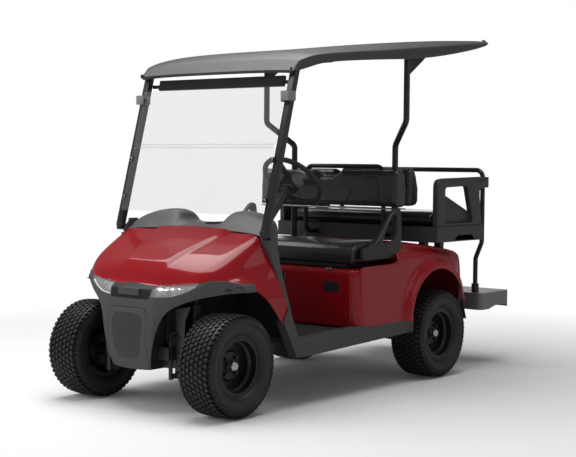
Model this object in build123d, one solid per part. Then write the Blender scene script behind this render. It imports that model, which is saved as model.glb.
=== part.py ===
from build123d import *
from math import cos, radians, sin
import os

os.makedirs("parts", exist_ok=True)

# Four-seat golf cart, in millimetres. x runs to the cart's left, z up from the ground and y to
# the rear, from the front axle. Each node is moved at the end so that the origin lies on the
# ground under the middle of the cart.
wheelbase = 1669
front_track = 902
rear_track = 978
gap = 0.3                 # clearance between pieces that only touch
pin_play = 0.05           # radial play of a pin or shaft in its bore

# Wheels, with widths measured from the tyre's middle
tyre_radius = 247
tyre_width = 210
bead_radius = 127
flange_radius = 146
rim_half_width = 77.5
rim_wall = 4
well_depth = 14
dish = 5
drum_radius = 86
drum_depth = 46
hub_radius = 34
hub_depth = 66
cap_radius = 23
cap_reach = 45
lug_circle = 101.6
lug_count = 4
lug_radius = 9
lug_reach = 14
spindle_radius = 12.5
front_x = front_track / 2
rear_x = rear_track / 2
axle_z = tyre_radius
spindle_end = dish + cap_reach - 14

# Frame
rail_x = 190
rail_width = 50
rail_height = 60
rail_z = 262
rail_front_y = -150
rail_rear_y = wheelbase + 321
kick_y = wheelbase - 339
kick_z = 346
kick_run = 110
cross_depth = 60
outrigger_x = 505
floor_z = rail_z + rail_height
floor_plate_depth = 6
floor_front_y = 430
floor_rear_y = wheelbase - 379
mat_thickness = 14
tow_pin_radius = 8

# Front suspension and steering
kingpin_x = 360
kingpin_radius = 8
upright_radius = 16
upright_low_z = 175
upright_high_z = 325
eye_thickness = 22
eye_gap = 3
eye_radius = 19
arm_pivot_x = 218
arm_pivot_y = 110
arm_radius = 10
arm_boss_radius = 13
shock_x = 248
shock_coil_radius = 29
tower_z = 560
tie_y = 150
tie_z = 232
tie_radius = 8
tie_end_x = 298
ball_x = 330
ball_radius = 12
rack_half = 130
rack_radius = 22
steer_x = 250
steer_y = 725
steer_z = 1111
steer_tilt = 45.8         # rise of the column from the horizontal, in degrees
steer_diameter = 343
steer_grip = 27
column_radius = 24
column_start = 58
column_end = 560
shaft_radius = 11
shaft_end = 370

# Body
body_wall = 6
side_x = 560
overall_x = 595
seam_end_y = 106          # where the front panel's seam runs out at the wheel arch
grille_half = 131
liner_x = 205
liner_wall = 5
dash_wall = 5
dash_low_z = 660
seat_base_y = wheelbase - 777
mat_rear_y = seat_base_y - 6
seat_base_z = 655
rear_arch_y = wheelbase - 44
rear_arch_z = 352
rear_arch_radius = 268
flare_band = 44
sill_depth = 48
sill_rear_y = wheelbase - tyre_radius - 10

# Roof and windshield
roof_wall = 24
strut_x = 500
strut_size = 38
strut_foot_y = 215
strut_foot_z = 862
strut_top_y = 412
strut_top_z = 1588
strut_bend = 50
rear_strut_low_x = 362
rear_strut_high_x = 500
rear_strut_low_y = wheelbase - 167
rear_strut_high_y = wheelbase - 264
rear_strut_radius = 17
rear_strut_foot_z = 735
glass_thickness = 5
glass_half = 488
glass_low_z = 948
glass_split_z = 1284
glass_high_z = 1574
glass_gap = 8
glass_split = 3

# Seats
cushion_half = 500
cushion_front_y = wheelbase - 729
cushion_rear_y = wheelbase - 387
cushion_high_z = 778
pan_half = 436
pan_depth = 16
back_low_z = 953
back_high_z = 1178
front_back_y = wheelbase - 339
front_back_depth = 118
rear_back_half = 450
rear_back_y = wheelbase - 137
rear_back_depth = 106
back_round = 34
rear_cushion_half = 515
rear_cushion_front_y = wheelbase - 13
rear_cushion_rear_y = wheelbase + 421
rear_cushion_high_z = 935
hoop_half = 280
hoop_radius = 13
tray_half = 577
tray_front_y = wheelbase - 57
tray_rear_y = wheelbase + 443
tray_low_z = 762
tray_high_z = 850
tray_wall = 6
tray_ledge_y = wheelbase + 43
armrest_x = 512
armrest_width = 50
rear_armrest_width = 42
rear_armrest_x = tray_half - rear_armrest_width - 5

# Rear step and grab bar
step_half = 540
step_front_y = wheelbase + 491
step_rear_y = wheelbase + 823
step_z = 436
step_depth = 100
step_wall = 5
step_bolt_x = 490
step_bolt_inset = 60
step_bolt_radius = 4.5
post_radius = 14
post_high_x = 520
post_low_x = 460
post_high_y = wheelbase + 521
post_low_y = wheelbase + 553
post_bend = 45
bar_z = 1168

middle_y = (step_rear_y - tyre_radius) / 2


def block(x0, x1, y0, y1, z0, z1):
    """Box between three pairs of limits."""
    centre = ((x0 + x1) / 2, (y0 + y1) / 2, (z0 + z1) / 2)
    return Pos(*centre) * Box(x1 - x0, y1 - y0, z1 - z0)


def rod(start, end, radius):
    """Round bar from one point to another."""
    axis = Vector(*end) - Vector(*start)
    return extrude(Plane(origin=start, z_dir=axis) * Circle(radius), axis.length)


def bent_tube(points, radius, bend):
    """Round tube along straight runs with tangent bends."""
    path = FilletPolyline(*points, radius=bend)
    section = Plane(origin=path @ 0, z_dir=path % 0) * Circle(radius)
    return sweep(section, path=path)


def square_tube(points, size, bend):
    """Square tube along straight runs with tangent bends."""
    path = FilletPolyline(*points, radius=bend)
    plane = Plane(origin=path @ 0, x_dir=(1, 0, 0), z_dir=path % 0)
    return sweep(plane * RectangleRounded(size, size, size / 6), path=path)


def side_prism(points, x0, x1):
    """Outline given as (y, z), between two widths."""
    face = Plane.YZ.offset(x0) * make_face(Polyline(*points, close=True))
    return extrude(face, x1 - x0)


def front_prism(points, y0, y1):
    """Outline given as (x, z), between two lengths."""
    face = make_face(Polyline(*[(x, y0, z) for x, z in points], close=True))
    return extrude(face, amount=y1 - y0, dir=(0, 1, 0))


def aft(points):
    """Side outline given from the rear axle."""
    return [(wheelbase + y, z) for y, z in points]


def side_disc(y, z, radius, x0, x1):
    """Round bar across the cart."""
    return rod((x0, y, z), (x1, y, z), radius)


def mirrored(shape):
    """The same piece on the cart's right."""
    return mirror(shape, about=Plane.YZ)


def both(shape):
    """A piece and its mirror image, fused where they meet."""
    return shape + mirrored(shape)


def pair(shape):
    """A piece and its mirror image as separate solids of one node."""
    return Compound([*shape.solids(), *mirrored(shape).solids()])


def section_loft(sections):
    """Flat-sided body through closed outlines of 3-D points."""
    return loft([make_face(Polyline(*points, close=True)) for points in sections], ruled=True)


def rounded_block(half, y0, y1, z0, z1, radius):
    """Block across the cart with every edge rounded."""
    shape = block(-half, half, y0, y1, z0, z1)
    return fillet(shape.edges(), radius)


# Nose: one skin from the hood down to the grille, split into hood, front panel and lamps.
# Columns: half width, then (y, z) of the dash seam, hood middle, hood front, lip over the lamps,
# lamp, brow under the lamps, grille and foot.
nose_table = (
    (0, (245, 870), (70, 796), (-62, 706), (-140, 628), (-194, 600), (-204, 552), (-217, 348), (-180, 205)),
    (200, (243, 864), (70, 792), (-60, 704), (-132, 624), (-176, 596), (-188, 552), (-192, 380), (-170, 215)),
    (380, (232, 853), (62, 776), (-52, 692), (-90, 640), (-118, 605), (-128, 560), (-132, 400), (-120, 220)),
    (455, (214, 843), (50, 752), (-66, 676), (-94, 652), (-100, 622), (-102, 585), (-104, 420), (-104, 230)),
    (512, (255, 728), (60, 686), (-24, 662), (-56, 646), (-62, 628), (-64, 595), (-66, 430), (-66, 240)),
    (552, (300, 632), (80, 632), (20, 634), (-16, 630), (-24, 618), (-26, 600), (-28, 440), (-28, 250)),
)
nose_rear_y = 420
lamp_depth = 34
# Seam between hood and front panel, then the outlines of the lamps, badge plate and the front
# panel's lower edge, as (x, z) on the left.
seam_points = ((0, 622), (138, 614), (372, 638), (455, 652), (512, 643), (540, 624), (558, 606), (620, 600))
lamp_points = ((138, 556), (146, 613), (372, 637), (440, 648), (404, 604), (330, 576), (236, 560))
badge_points = ((136, 555), (144, 612), (0, 620), (-144, 612), (-136, 555))
panel_edge = (
    (grille_half, 228), (164, 336), (183, 410), (216, 484), (261, 520), (339, 554), (420, 576), (500, 590), (620, 598),
)
# Wheel arch behind the seam's end, and the rear edge of the hood's side, as (y, z).
arch_points = ((seam_end_y, 598), (157, 562), (195, 528), (233, 489), (271, 445), (290, 432))
side_seam_points = ((212, 850), (274, 635), (326, 499), (290, 432))


def nose_loft(inset, depth):
    """Nose body with its sides inset and its front and top moved in."""
    sections = []
    for half, *points in nose_table:
        x = half - inset * half / nose_table[-1][0]
        foot_z = points[-1][1] - 2 * depth
        outline = [(nose_rear_y + depth, foot_z), (nose_rear_y + depth, points[0][1] - depth)]
        outline += [(y + depth, z - depth) for y, z in points[:-1]]
        outline += [(points[-1][0] + depth, foot_z)]
        sections.append([(x, y, z) for y, z in outline])
    left = section_loft(sections)
    return left + mirrored(left)


nose_body = nose_loft(0, 0)
nose_skin = nose_body - nose_loft(body_wall, body_wall)
below_seam = both(front_prism([(0, 100), *seam_points, (620, 100)], -400, seam_end_y))
lamp_shape = both(front_prism(lamp_points, -400, 60))
badge_shape = front_prism(badge_points, -400, 0)


def front_cowl():
    """Hood and front fenders in one skin."""
    arch = both(side_prism([(seam_end_y, 100), *arch_points, (400, 100)], 300, 700))
    side_seam = [(290, 100), (290, 432), *side_seam_points[2::-1], (240, 900), (240, 1000), (900, 1000), (900, 100)]
    behind = side_prism(side_seam, -700, 700) + block(-470, 470, 246, 900, 600, 1000)
    return nose_skin - below_seam - arch - behind


def front_panel():
    """Lower front panel with openings for the lamps and the badge plate."""
    edge = both(front_prism([(grille_half, 100), *panel_edge, (620, 100)], -400, seam_end_y))
    inside = block(-liner_x, liner_x, -100, 900, 0, 540) + block(-700, 700, seam_end_y, 900, 0, 900)
    return (nose_skin & below_seam) - edge - lamp_shape - badge_shape - inside


def headlamps():
    """Lamp bodies that fill the front panel's openings."""
    return (nose_body - nose_loft(0, lamp_depth)) & lamp_shape


def badge_plate():
    """Blank plate between the lamps."""
    return nose_skin & badge_shape


# Sill and door post trim in one piece on each side: side outline of the sill as (y, z), then
# the post's level, front edge, rear edge, outer face and thickness.
sill_points = (
    (290, 432), (326, 499), (354, 452), (406, 350), (440, 345), (sill_rear_y, 369), (sill_rear_y, 284), (440, 247), (392, 250),
)
post_table = (
    (452, 301, 354, 558, 46),
    (499, 326.5, 344, 556, 42),
    (635, 275, 306, 541, 40),
    (705, 254, 300, 526, 36),
    (846, 214, 304, 494, 30),
    (905, 262, 312, 487, 20),
)


def rocker_panel(cowl):
    """Left sill, turned up in front as the door post's trim."""
    sill = side_prism(sill_points, side_x - sill_depth - 2, side_x)
    rows = []
    for z, seam, edge, outer, depth in post_table:
        rows.append([(outer - depth, seam, z), (outer, seam, z), (outer, edge, z), (outer - depth, edge, z)])
    post = section_loft(rows[:2]) + section_loft(rows[1:])
    strut = block(strut_x - strut_size / 2 - 2, side_x, 190, 262, 830, 960)
    return (sill + post) - strut - cowl


# Dash: columns are half width, then (y, z) of the front seam, front crest, crest and rear lip.
dash_table = (
    (0, (248, 871), (285, 888), (350, 902), (462, 880)),
    (96, (248, 870), (285, 888), (350, 904), (462, 884)),
    (176, (246, 868), (290, 912), (352, 957), (462, 930)),
    (400, (238, 858), (285, 900), (350, 938), (462, 915)),
    (474, (226, 848), (262, 874), (300, 902), (420, 880)),
)
pocket = (20, 168, 300, 440, 860)     # the open pocket's x, y and floor


def column_point(reach):
    """Point on the steering column's axis, measured down from the steering wheel."""
    tilt = radians(steer_tilt)
    return (steer_x, steer_y - reach * cos(tilt), steer_z - reach * sin(tilt))


def dash_loft(inset):
    """Dash body, moved in on every face but the open bottom."""
    sections = []
    for half, *points in dash_table:
        x = half - inset * half / dash_table[-1][0]
        seam, front, crest, lip = points
        outline = [(seam[0] + inset, dash_low_z - 2 * inset), (seam[0] + inset, seam[1] - inset)]
        outline += [(front[0] + inset, front[1] - inset), (crest[0], crest[1] - inset)]
        outline += [(lip[0] - inset, lip[1] - inset), (lip[0] - 14 - inset, dash_low_z - 2 * inset)]
        sections.append([(x, y, z) for y, z in outline])
    left = section_loft(sections)
    return left + mirrored(left)


def dash_panel(trim, cowl):
    """Dash with an open pocket beside the wheel and the column's hole."""
    x0, x1, y0, y1, floor = pocket
    hole = rod(column_point(0), column_point(column_end + 20), column_radius + gap)
    body = dash_loft(0)
    cup = block(x0 - dash_wall, x1 + dash_wall, y0 - dash_wall, y1 + dash_wall, floor - dash_wall, 1000) & body
    dash = (body - dash_loft(dash_wall)) + cup
    dash = dash - block(x0, x1, y0, y1, floor, 1000) - hole
    dash = dash - block(-700, 700, 200, 248, 600, 846)
    feet = both(block(strut_x - strut_size / 2 - 2, side_x, 190, 262, 830, 960))
    return dash - feet - cowl - both(trim)


# Roof. Columns: y, half width, lower edge, side's top, crown.
roof_table = (
    (384, 515, 1646, 1652, 1662),
    (470, 540, 1667, 1728, 1756),
    (605, 550, 1703, 1750, 1780),
    (1169, 550, 1755, 1808, 1842),
    (1555, 550, 1777, 1850, 1888),
    (1974, 546, 1856, 1894, 1932),
    (2250, 505, 1910, 1922, 1956),
    (2352, 420, 1937, 1941, 1960),
)
crown_share = 0.6         # width of the flat crown against the roof's half width


def roof_canopy():
    """Roof with a drip edge all round and a shallow recess under it."""
    outer = []
    recess = []
    for y, half, low, side, crown in roof_table:
        flat = half * crown_share
        outline = [(-half, low), (half, low), (half, side), (flat, crown), (-flat, crown), (-half, side)]
        outer.append([(x, y, z) for x, z in outline])
        inner = half - 2 * roof_wall
        roof_low = max(low + 4, side - roof_wall)
        outline = [(-inner, low - 30), (inner, low - 30), (inner, roof_low), (flat, roof_low + 12)]
        outline += [(-flat, roof_low + 12), (-inner, roof_low)]
        recess.append([(x, y, z) for x, z in outline])
    return section_loft(outer) - section_loft(recess[1:-1])


roof = roof_canopy()

# Front roof struts: foot, bend behind the roof's front edge, and the run under the roof.
strut_rise = (strut_top_z - strut_foot_z) / (strut_top_y - strut_foot_y)
strut_points = (
    (strut_x, strut_foot_y, strut_foot_z),
    (strut_x, strut_top_y, strut_top_z),
    (strut_x, strut_top_y + 60, strut_top_z + 62),
    (strut_x, strut_top_y + 300, strut_top_z + 100),
)
clip_levels = ((1010, 1034), (1206, 1230), (1500, 1536))


def glass_line(z, offset):
    """Length at a height on the windshield's plane, in front of the struts."""
    face = strut_foot_y + (z - strut_foot_z) / strut_rise - strut_size * 0.52
    return face - glass_gap - offset


def glass_band(low, high, back, front):
    """Side outline of a slab that leans back with the struts."""
    points = [(glass_line(low, back), low), (glass_line(high, back), high)]
    return points + [(glass_line(high, front), high), (glass_line(low, front), low)]


def front_struts():
    """Front roof struts with foot plates and the windshield's clips."""
    side = square_tube(strut_points, strut_size, strut_bend)
    inner = strut_x - strut_size / 2
    side = side + block(inner, strut_x + 12, 196, 252, strut_foot_z - 14, strut_foot_z + 12)
    for low, high in clip_levels:
        side = side + side_prism(glass_band(low, high, -glass_gap - 12, 0), inner, glass_half)
    return side - roof


def windshield():
    """Two flat panes, one over the other."""
    lower = side_prism(glass_band(glass_low_z, glass_split_z - glass_split, 0, glass_thickness), -glass_half, glass_half)
    upper = side_prism(glass_band(glass_split_z + glass_split, glass_high_z, 0, glass_thickness), -glass_half, glass_half)
    return Compound([lower, upper])


def header_panel():
    """Panel between the front struts under the roof's front edge."""
    face = side_prism([(424, 1582), (436, 1634), (452, 1630), (440, 1579)], -430, 430)
    return face + both(block(430, strut_x - strut_size / 2, 432, 446, 1592, 1610))


def rear_struts(body):
    """Rear roof struts, cranked inwards behind the front seat, with roof brackets."""
    points = (
        (rear_strut_low_x, rear_strut_low_y, rear_strut_foot_z),
        (rear_strut_low_x, rear_strut_low_y, 1305),
        (rear_strut_high_x, rear_strut_high_y, 1436),
        (rear_strut_high_x, rear_strut_high_y, 1785),
    )
    post = bent_tube(points, rear_strut_radius, 40)
    web = [(rear_strut_high_y, 1690), (rear_strut_high_y + 20, 1690), (rear_strut_high_y + 175, 1790)]
    web += [(rear_strut_high_y + 175, 1840), (rear_strut_high_y, 1840)]
    plate = side_prism(web, rear_strut_high_x - 4, rear_strut_high_x + 4)
    pieces = (post + plate) - roof - body
    return pieces.solids().sort_by(SortBy.VOLUME)[-1]


# Rear body: columns are half width, then (y from the rear axle, z) of the seat base's front foot, its top front,
# shoulder front, deck front, deck rear, tail top and tail foot.
rear_table = (
    (0, (-777, 350), (-777, 655), (-383, 655), (-339, 776), (173, 728), (339, 656), (367, 412)),
    (440, (-777, 350), (-777, 655), (-383, 655), (-339, 770), (167, 722), (321, 650), (341, 412)),
    (508, (-775, 350), (-775, 655), (-385, 656), (-351, 748), (143, 708), (281, 625), (301, 412)),
    (560, (-739, 350), (-739, 655), (-439, 692), (-379, 702), (111, 684), (211, 580), (227, 412)),
)


def rear_loft(inset, drop):
    """Rear body, moved in on every face but the open bottom."""
    sections = []
    for half, *points in rear_table:
        points = aft(points)
        x = half - inset * half / side_x
        foot_z = points[0][1] - drop
        outline = [(points[0][0] + inset, foot_z), (points[1][0] + inset, points[1][1] - inset)]
        outline += [(y + inset, z - inset) for y, z in points[2:4]]
        outline += [(y - inset, z - inset) for y, z in points[4:6]]
        outline += [(points[-1][0] - inset, points[-1][1]), (points[-1][0] - inset, foot_z)]
        sections.append([(x, y, z) for y, z in outline])
    left = section_loft(sections)
    return left + mirrored(left)


rear_solid = rear_loft(0, 0)


def rear_body():
    """Seat base, rear deck and fenders in one skin, with flared wheel arches."""
    skin = rear_solid - rear_loft(body_wall, 40)
    skin = skin - block(-400, 400, cushion_front_y + 20, cushion_rear_y - 52, 600, 700)
    low, high = rear_arch_y - rear_arch_radius, rear_arch_y + rear_arch_radius
    arch = side_disc(rear_arch_y, rear_arch_z, rear_arch_radius, 340, 700) + block(340, 700, low, high, 0, rear_arch_z)
    skin = skin - both(arch) - block(-700, 700, high, high + 300, 0, 412)
    skin = skin - block(-500, 500, low, high + 300, 0, 412)
    band = side_disc(rear_arch_y, rear_arch_z, rear_arch_radius + flare_band, side_x - 10, overall_x)
    band = band - side_disc(rear_arch_y, rear_arch_z, rear_arch_radius, 500, 700)
    band = band - block(500, 700, low - 60, high + 60, 0, rear_arch_z + 18) - block(500, 700, high, high + 60, 0, 412)
    return skin + both(band)


def wheel(side):
    """Rim with brake drum, hub, cap and lugs, and its tyre; side is 1 on the left, -1 on the right."""
    out = rim_half_width
    well = bead_radius - well_depth
    bore = spindle_radius + pin_play
    bed = [(out - rim_wall, bead_radius), (out - 34, bead_radius - 2), (out - 44, well)]
    inside = [(out, bead_radius - rim_wall), (out - 32, bead_radius - rim_wall - 2), (out - 42, well - rim_wall)]
    rim_profile = [(-out, flange_radius), (-out + rim_wall, flange_radius)]
    rim_profile += [(-a, r) for a, r in bed] + bed[::-1]
    rim_profile += [(out - rim_wall, flange_radius), (out, flange_radius)] + inside
    rim_profile += [(dish + rim_wall, well - rim_wall), (dish + rim_wall, 76), (dish + 14, 66), (dish + 14, hub_radius)]
    rim_profile += [(dish + 22, hub_radius), (dish + 22, cap_radius + 4), (dish + 30, cap_radius)]
    rim_profile += [(dish + cap_reach, cap_radius), (dish + cap_reach + 6, cap_radius - 6), (dish + cap_reach + 6, 0)]
    rim_profile += [(dish + cap_reach - 6, 0), (dish + cap_reach - 6, bore), (-hub_depth, bore), (-hub_depth, hub_radius)]
    rim_profile += [(-drum_depth, hub_radius), (-drum_depth, drum_radius), (dish - 1, drum_radius)]
    rim_profile += [(dish, drum_radius + 4), (dish, well - rim_wall)]
    rim_profile += [(-a, r) for a, r in inside[::-1]]
    half = tyre_width / 2
    wall = [(out - rim_wall, flange_radius), (out + 6, flange_radius + 6), (half - 8, 172), (half, 196)]
    wall += [(half - 4, 220), (half - 16, 236), (half - 34, tyre_radius - 2), (20, tyre_radius)]
    tyre_profile = [(-a, r) for a, r in bed[::-1]] + [(-a, r) for a, r in wall] + wall[::-1] + bed
    shapes = []
    for profile in (rim_profile, tyre_profile):
        face = make_face(Polyline(*[(side * a, 0, r) for a, r in profile], close=True))
        shapes.append(Pos(0, 0, axle_z) * revolve(face, axis=Axis.X))
    rim, tyre = shapes
    for index in range(lug_count):
        turn = radians(45 + 360 * index / lug_count)
        y, z = lug_circle / 2 * cos(turn), axle_z + lug_circle / 2 * sin(turn)
        rim = rim + rod((side * (dish + 13), y, z), (side * (dish + 13 + lug_reach), y, z), lug_radius)
    return rim, tyre


eye_levels = (upright_low_z - eye_gap - eye_thickness, upright_high_z + eye_gap)


def knuckle():
    """Left steering knuckle: upright, kingpin, spindle and tie rod arm."""
    shape = rod((kingpin_x, 0, upright_low_z), (kingpin_x, 0, upright_high_z), upright_radius)
    pin_end = eye_levels[1] + eye_thickness + 4
    shape = shape + rod((kingpin_x, 0, eye_levels[0] - 4), (kingpin_x, 0, pin_end), kingpin_radius)
    shape = shape + rod((kingpin_x, 0, axle_z), (front_x + spindle_end, 0, axle_z), spindle_radius)
    arm_z = tie_z - 4
    shape = shape + bent_tube([(kingpin_x, 0, arm_z), (kingpin_x - 8, 70, arm_z), (ball_x, tie_y, arm_z)], 9, 30)
    return shape + rod((ball_x, tie_y, tie_z - 14), (ball_x, tie_y, tie_z + 12), ball_radius)


def suspension_arms():
    """Lower and upper wishbone of the left side, each with a kingpin eye."""
    arms = []
    for z, pivot_z in zip(eye_levels, (185, 372)):
        arm = rod((kingpin_x, 0, z), (kingpin_x, 0, z + eye_thickness), eye_radius)
        for y in (-arm_pivot_y, arm_pivot_y):
            arm = arm + rod((arm_pivot_x, y, pivot_z), (kingpin_x - 12, y * 0.06, z + eye_thickness / 2), arm_radius)
            arm = arm + rod((arm_pivot_x, y - 16, pivot_z), (arm_pivot_x, y + 16, pivot_z), arm_boss_radius)
        if not arms:
            arm = arm + block(shock_x - 16, shock_x + 16, -86, 86, 170, 182)
        arms.append(arm - rod((kingpin_x, 0, z - 10), (kingpin_x, 0, z + 40), kingpin_radius + pin_play))
    return Compound([solid for arm in arms for solid in arm.solids()])


def front_shock():
    """Coil-over shock absorber between the lower wishbone and the tower."""
    shaft = rod((shock_x, 0, 182), (shock_x, 0, tower_z), 13)
    return shaft + rod((shock_x, 0, 300), (shock_x, 0, tower_z - 40), shock_coil_radius)


def steering_rack():
    """Rack housing across the frame's rails."""
    tube = rod((-rack_half, tie_y, tie_z), (rack_half, tie_y, tie_z), rack_radius)
    hanger = both(block(100, 128, tie_y - 20, tie_y + 20, tie_z, rail_z + 20))
    cross = block(-rail_x, rail_x, tie_y - 20, tie_y + 20, rail_z + 10, rail_z + 40)
    return tube + hanger + cross


def frame_rails():
    """Ladder frame that kicks up over the rear axle, with shock towers, arm brackets and step bearers."""
    low, high = rail_z, floor_z
    kick_high = kick_z + rail_height
    outline = [(rail_front_y, low), (kick_y, low), (kick_y + kick_run, kick_z), (rail_rear_y, kick_z)]
    outline += [(rail_rear_y, kick_high), (kick_y + kick_run - 20, kick_high), (kick_y - 20, high), (rail_front_y, high)]
    frame = both(side_prism(outline, rail_x - rail_width / 2, rail_x + rail_width / 2))
    for y in (rail_front_y, floor_front_y + 40, floor_rear_y - 40 - cross_depth):
        frame = frame + block(-rail_x, rail_x, y, y + cross_depth, low, high)
    frame = frame + block(-rail_x, rail_x, rail_rear_y - cross_depth, rail_rear_y, kick_z, kick_high)
    for y in (floor_front_y + 130, floor_rear_y - 110):
        frame = frame + both(block(rail_x, outrigger_x, y, y + cross_depth, low + 20, high))
    tower = block(rail_x - 10, rail_x + 12, -30, 30, high, tower_z)
    tower = tower + block(rail_x - 10, shock_x + 30, -30, 30, tower_z, tower_z + 8)
    for y in (-arm_pivot_y, arm_pivot_y):
        for end in (-27, 17):
            tower = tower + block(rail_x + 12, arm_pivot_x + 2, y + end, y + end + 10, 168, 390)
    bearer = block(rail_x - 20, rail_x + 20, rail_rear_y - 10, step_front_y + 80, step_z - step_wall - 36, kick_high)
    bearer = bearer + block(rail_x - 20, rail_x + 20, step_front_y + step_wall + 2, step_rear_y - 30, step_z - step_wall - 36, step_z - step_wall)
    frame = frame + both(tower) + both(bearer) + steering_rack()
    frame = frame - rod((-300, tie_y, tie_z), (300, tie_y, tie_z), tie_radius + pin_play)
    return frame - rod((0, rail_front_y + cross_depth / 2, low - 10), (0, rail_front_y + cross_depth / 2, high + 10), tow_pin_radius)


def floor_plate():
    """Floor over the rails, with the toe board and the wall behind the dash."""
    top = floor_z + floor_plate_depth
    half = outrigger_x - 1
    plate = block(-half, half, floor_front_y, floor_rear_y, floor_z, top)
    toe = [(floor_front_y, floor_z), (floor_front_y + 6, top), (398, 500), (446, 655), (440, 655), (391, 500)]
    return plate + side_prism(toe, -440, 440)


def floor_mat():
    """Rubber mat over the front of the floor."""
    low = floor_z + floor_plate_depth
    return block(-500, 500, floor_front_y + 12, mat_rear_y, low, low + mat_thickness)


def pedals():
    """Drive and brake pedals on arms from the wall behind the dash."""
    parts = []
    for x, width in ((180, 70), (310, 62)):
        pad = side_prism([(470, 458), (479, 454), (510, 530), (501, 534)], x - width / 2, x + width / 2)
        arm = side_prism([(436, 612), (430, 600), (486, 494), (495, 500)], x - 8, x + 8)
        parts.append((pad + arm) - floor_plate())
    return Compound([part.solids().sort_by(SortBy.VOLUME)[-1] for part in parts])


def wheel_liner():
    """Inner wall, top and rear wall of the left front wheel well."""
    outline = [(-150, 348), (-150, 500), (-100, 588), (0, 608), (286, 608), (330, 560), (362, 440), (372, 348)]
    wall = side_prism(outline, liner_x, liner_x + liner_wall)
    wall = wall - block(150, 300, -36, 36, 300, 575) - block(150, 300, -142, 142, 300, 396)
    top = block(liner_x + liner_wall, 486, -30, 286, 603, 608) - block(150, 300, -36, 36, 300, 700)
    back = [(286, 603), (286, 608), (330, 560), (362, 440), (372, 340), (366, 340), (356, 440), (325, 557)]
    return wall + top + side_prism(back, liner_x + liner_wall, 486)


def steering_column():
    """Column tube from the dash up to the steering wheel."""
    tube = rod(column_point(column_start), column_point(column_end), column_radius)
    return tube - rod(column_point(0), column_point(shaft_end + 20), shaft_radius + pin_play)


def steering_wheel():
    """Grip ring, three spokes, hub and shaft."""
    tilt = radians(steer_tilt)
    plane = Plane(origin=column_point(0), x_dir=(1, 0, 0), z_dir=(0, cos(tilt), sin(tilt)))
    ring_radius = (steer_diameter - steer_grip) / 2
    shape = Torus(ring_radius, steer_grip / 2) + Pos(0, 0, -28) * Cylinder(52, 34)
    for turn in (0, 180, 270):
        shape = shape + Rot(0, 0, turn) * Pos(ring_radius / 2 + 10, 0, -10) * Box(ring_radius - 20, 34, 10)
    return plane * (shape + Pos(0, 0, -shaft_end / 2 - 15) * Cylinder(shaft_radius, shaft_end - 30))


def seat_pan():
    """Board under the front cushion."""
    low = seat_base_z + gap
    return block(-pan_half, pan_half, cushion_front_y + 4, cushion_rear_y - 6, low, low + pan_depth)


def front_seat_cushion():
    """Cushion on the seat pan."""
    low = seat_base_z + pan_depth + 2 * gap
    return rounded_block(cushion_half, cushion_front_y, cushion_rear_y, low, cushion_high_z, 30)


def front_seat_back():
    """Backrest with two humps."""
    back = rounded_block(cushion_half, front_back_y, front_back_y + front_back_depth, back_low_z, back_high_z, back_round)
    dip = [(-46, 1300), (-46, 1160), (-22, 1134), (22, 1134), (46, 1160), (46, 1300)]
    return back - front_prism(dip, front_back_y - 10, front_back_y + front_back_depth + 10)


def rear_seat_cushion():
    """Rear cushion, on the tray's ledges."""
    low = tray_high_z + gap
    return rounded_block(rear_cushion_half, rear_cushion_front_y, rear_cushion_rear_y, low, rear_cushion_high_z, 24)


def rear_seat_back():
    """Rear backrest."""
    return rounded_block(rear_back_half, rear_back_y, rear_back_y + rear_back_depth, back_low_z, back_high_z + 8, back_round)


def seat_back_frame():
    """Hoop between the backrests, its legs bent to the rear under the rear seat, with straps."""
    high = back_high_z + 8
    y = rear_back_y - gap - hoop_radius - 8
    leg_z = tray_low_z + 36
    points = [(-hoop_half, tray_front_y - gap, leg_z), (-hoop_half, y, leg_z), (-hoop_half, y, high)]
    points += [(-x, b, z) for x, b, z in points[::-1]]
    hoop = bent_tube(points, hoop_radius, 50)
    front = front_back_y + front_back_depth + gap
    for z in (1000, 1090):
        hoop = hoop + block(-hoop_half - 10, hoop_half + 10, y, rear_back_y - gap, z, z + 30)
        hoop = hoop + block(-hoop_half - 10, hoop_half + 10, front, y, z + 8, z + 26)
    return hoop


def rear_tray():
    """Open box under the rear cushion, on four legs that stand on the deck."""
    inner = tray_half - tray_wall
    tray = block(-tray_half, tray_half, tray_front_y, tray_rear_y, tray_low_z, tray_high_z)
    tray = tray - block(-inner, inner, tray_front_y + tray_wall, tray_rear_y - tray_wall, tray_low_z + tray_wall, 900)
    arch = [(111, 700), (131, 775), (161, 797), (316, 797), (341, 775), (361, 700)]
    arch = side_prism(aft(arch), inner - 1, 700)
    ledge_low = tray_high_z - 12
    rear = tray_rear_y - tray_wall
    ledge = both(block(rear_cushion_half - 45, inner, tray_ledge_y, rear, ledge_low, tray_high_z))
    ledge = ledge + both(block(rear_armrest_x - 6, inner, tray_front_y + tray_wall, tray_ledge_y, ledge_low, tray_high_z))
    ledge = ledge + block(-inner, inner, rear - 46, rear, ledge_low, tray_high_z)
    legs = Part()
    for y in (tray_front_y + 28, tray_front_y + 188):
        legs = legs + both(block(436, 476, y, y + 40, 690, tray_low_z))
    return (tray - both(arch)) + ledge + (legs - rear_solid)


def front_armrest():
    """Open arm loop that stands on the seat base at the left end of the front seat."""
    outline = [(-732, 640), (-732, 749), (-616, 778), (-579, 800), (-536, 878), (-447, 966), (-401, 966)]
    outline += [(-385, 920), (-379, 800), (-407, 720), (-419, 640)]
    opening = [(-565, 772), (-511, 868), (-453, 892), (-429, 880), (-419, 826), (-447, 786), (-501, 760), (-549, 756)]
    arm = side_prism(aft(outline), armrest_x, armrest_x + armrest_width)
    arm = arm - side_prism(aft(opening), armrest_x - 5, armrest_x + armrest_width + 5) - rear_solid
    return arm.solids().sort_by(SortBy.VOLUME)[-1]


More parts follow.
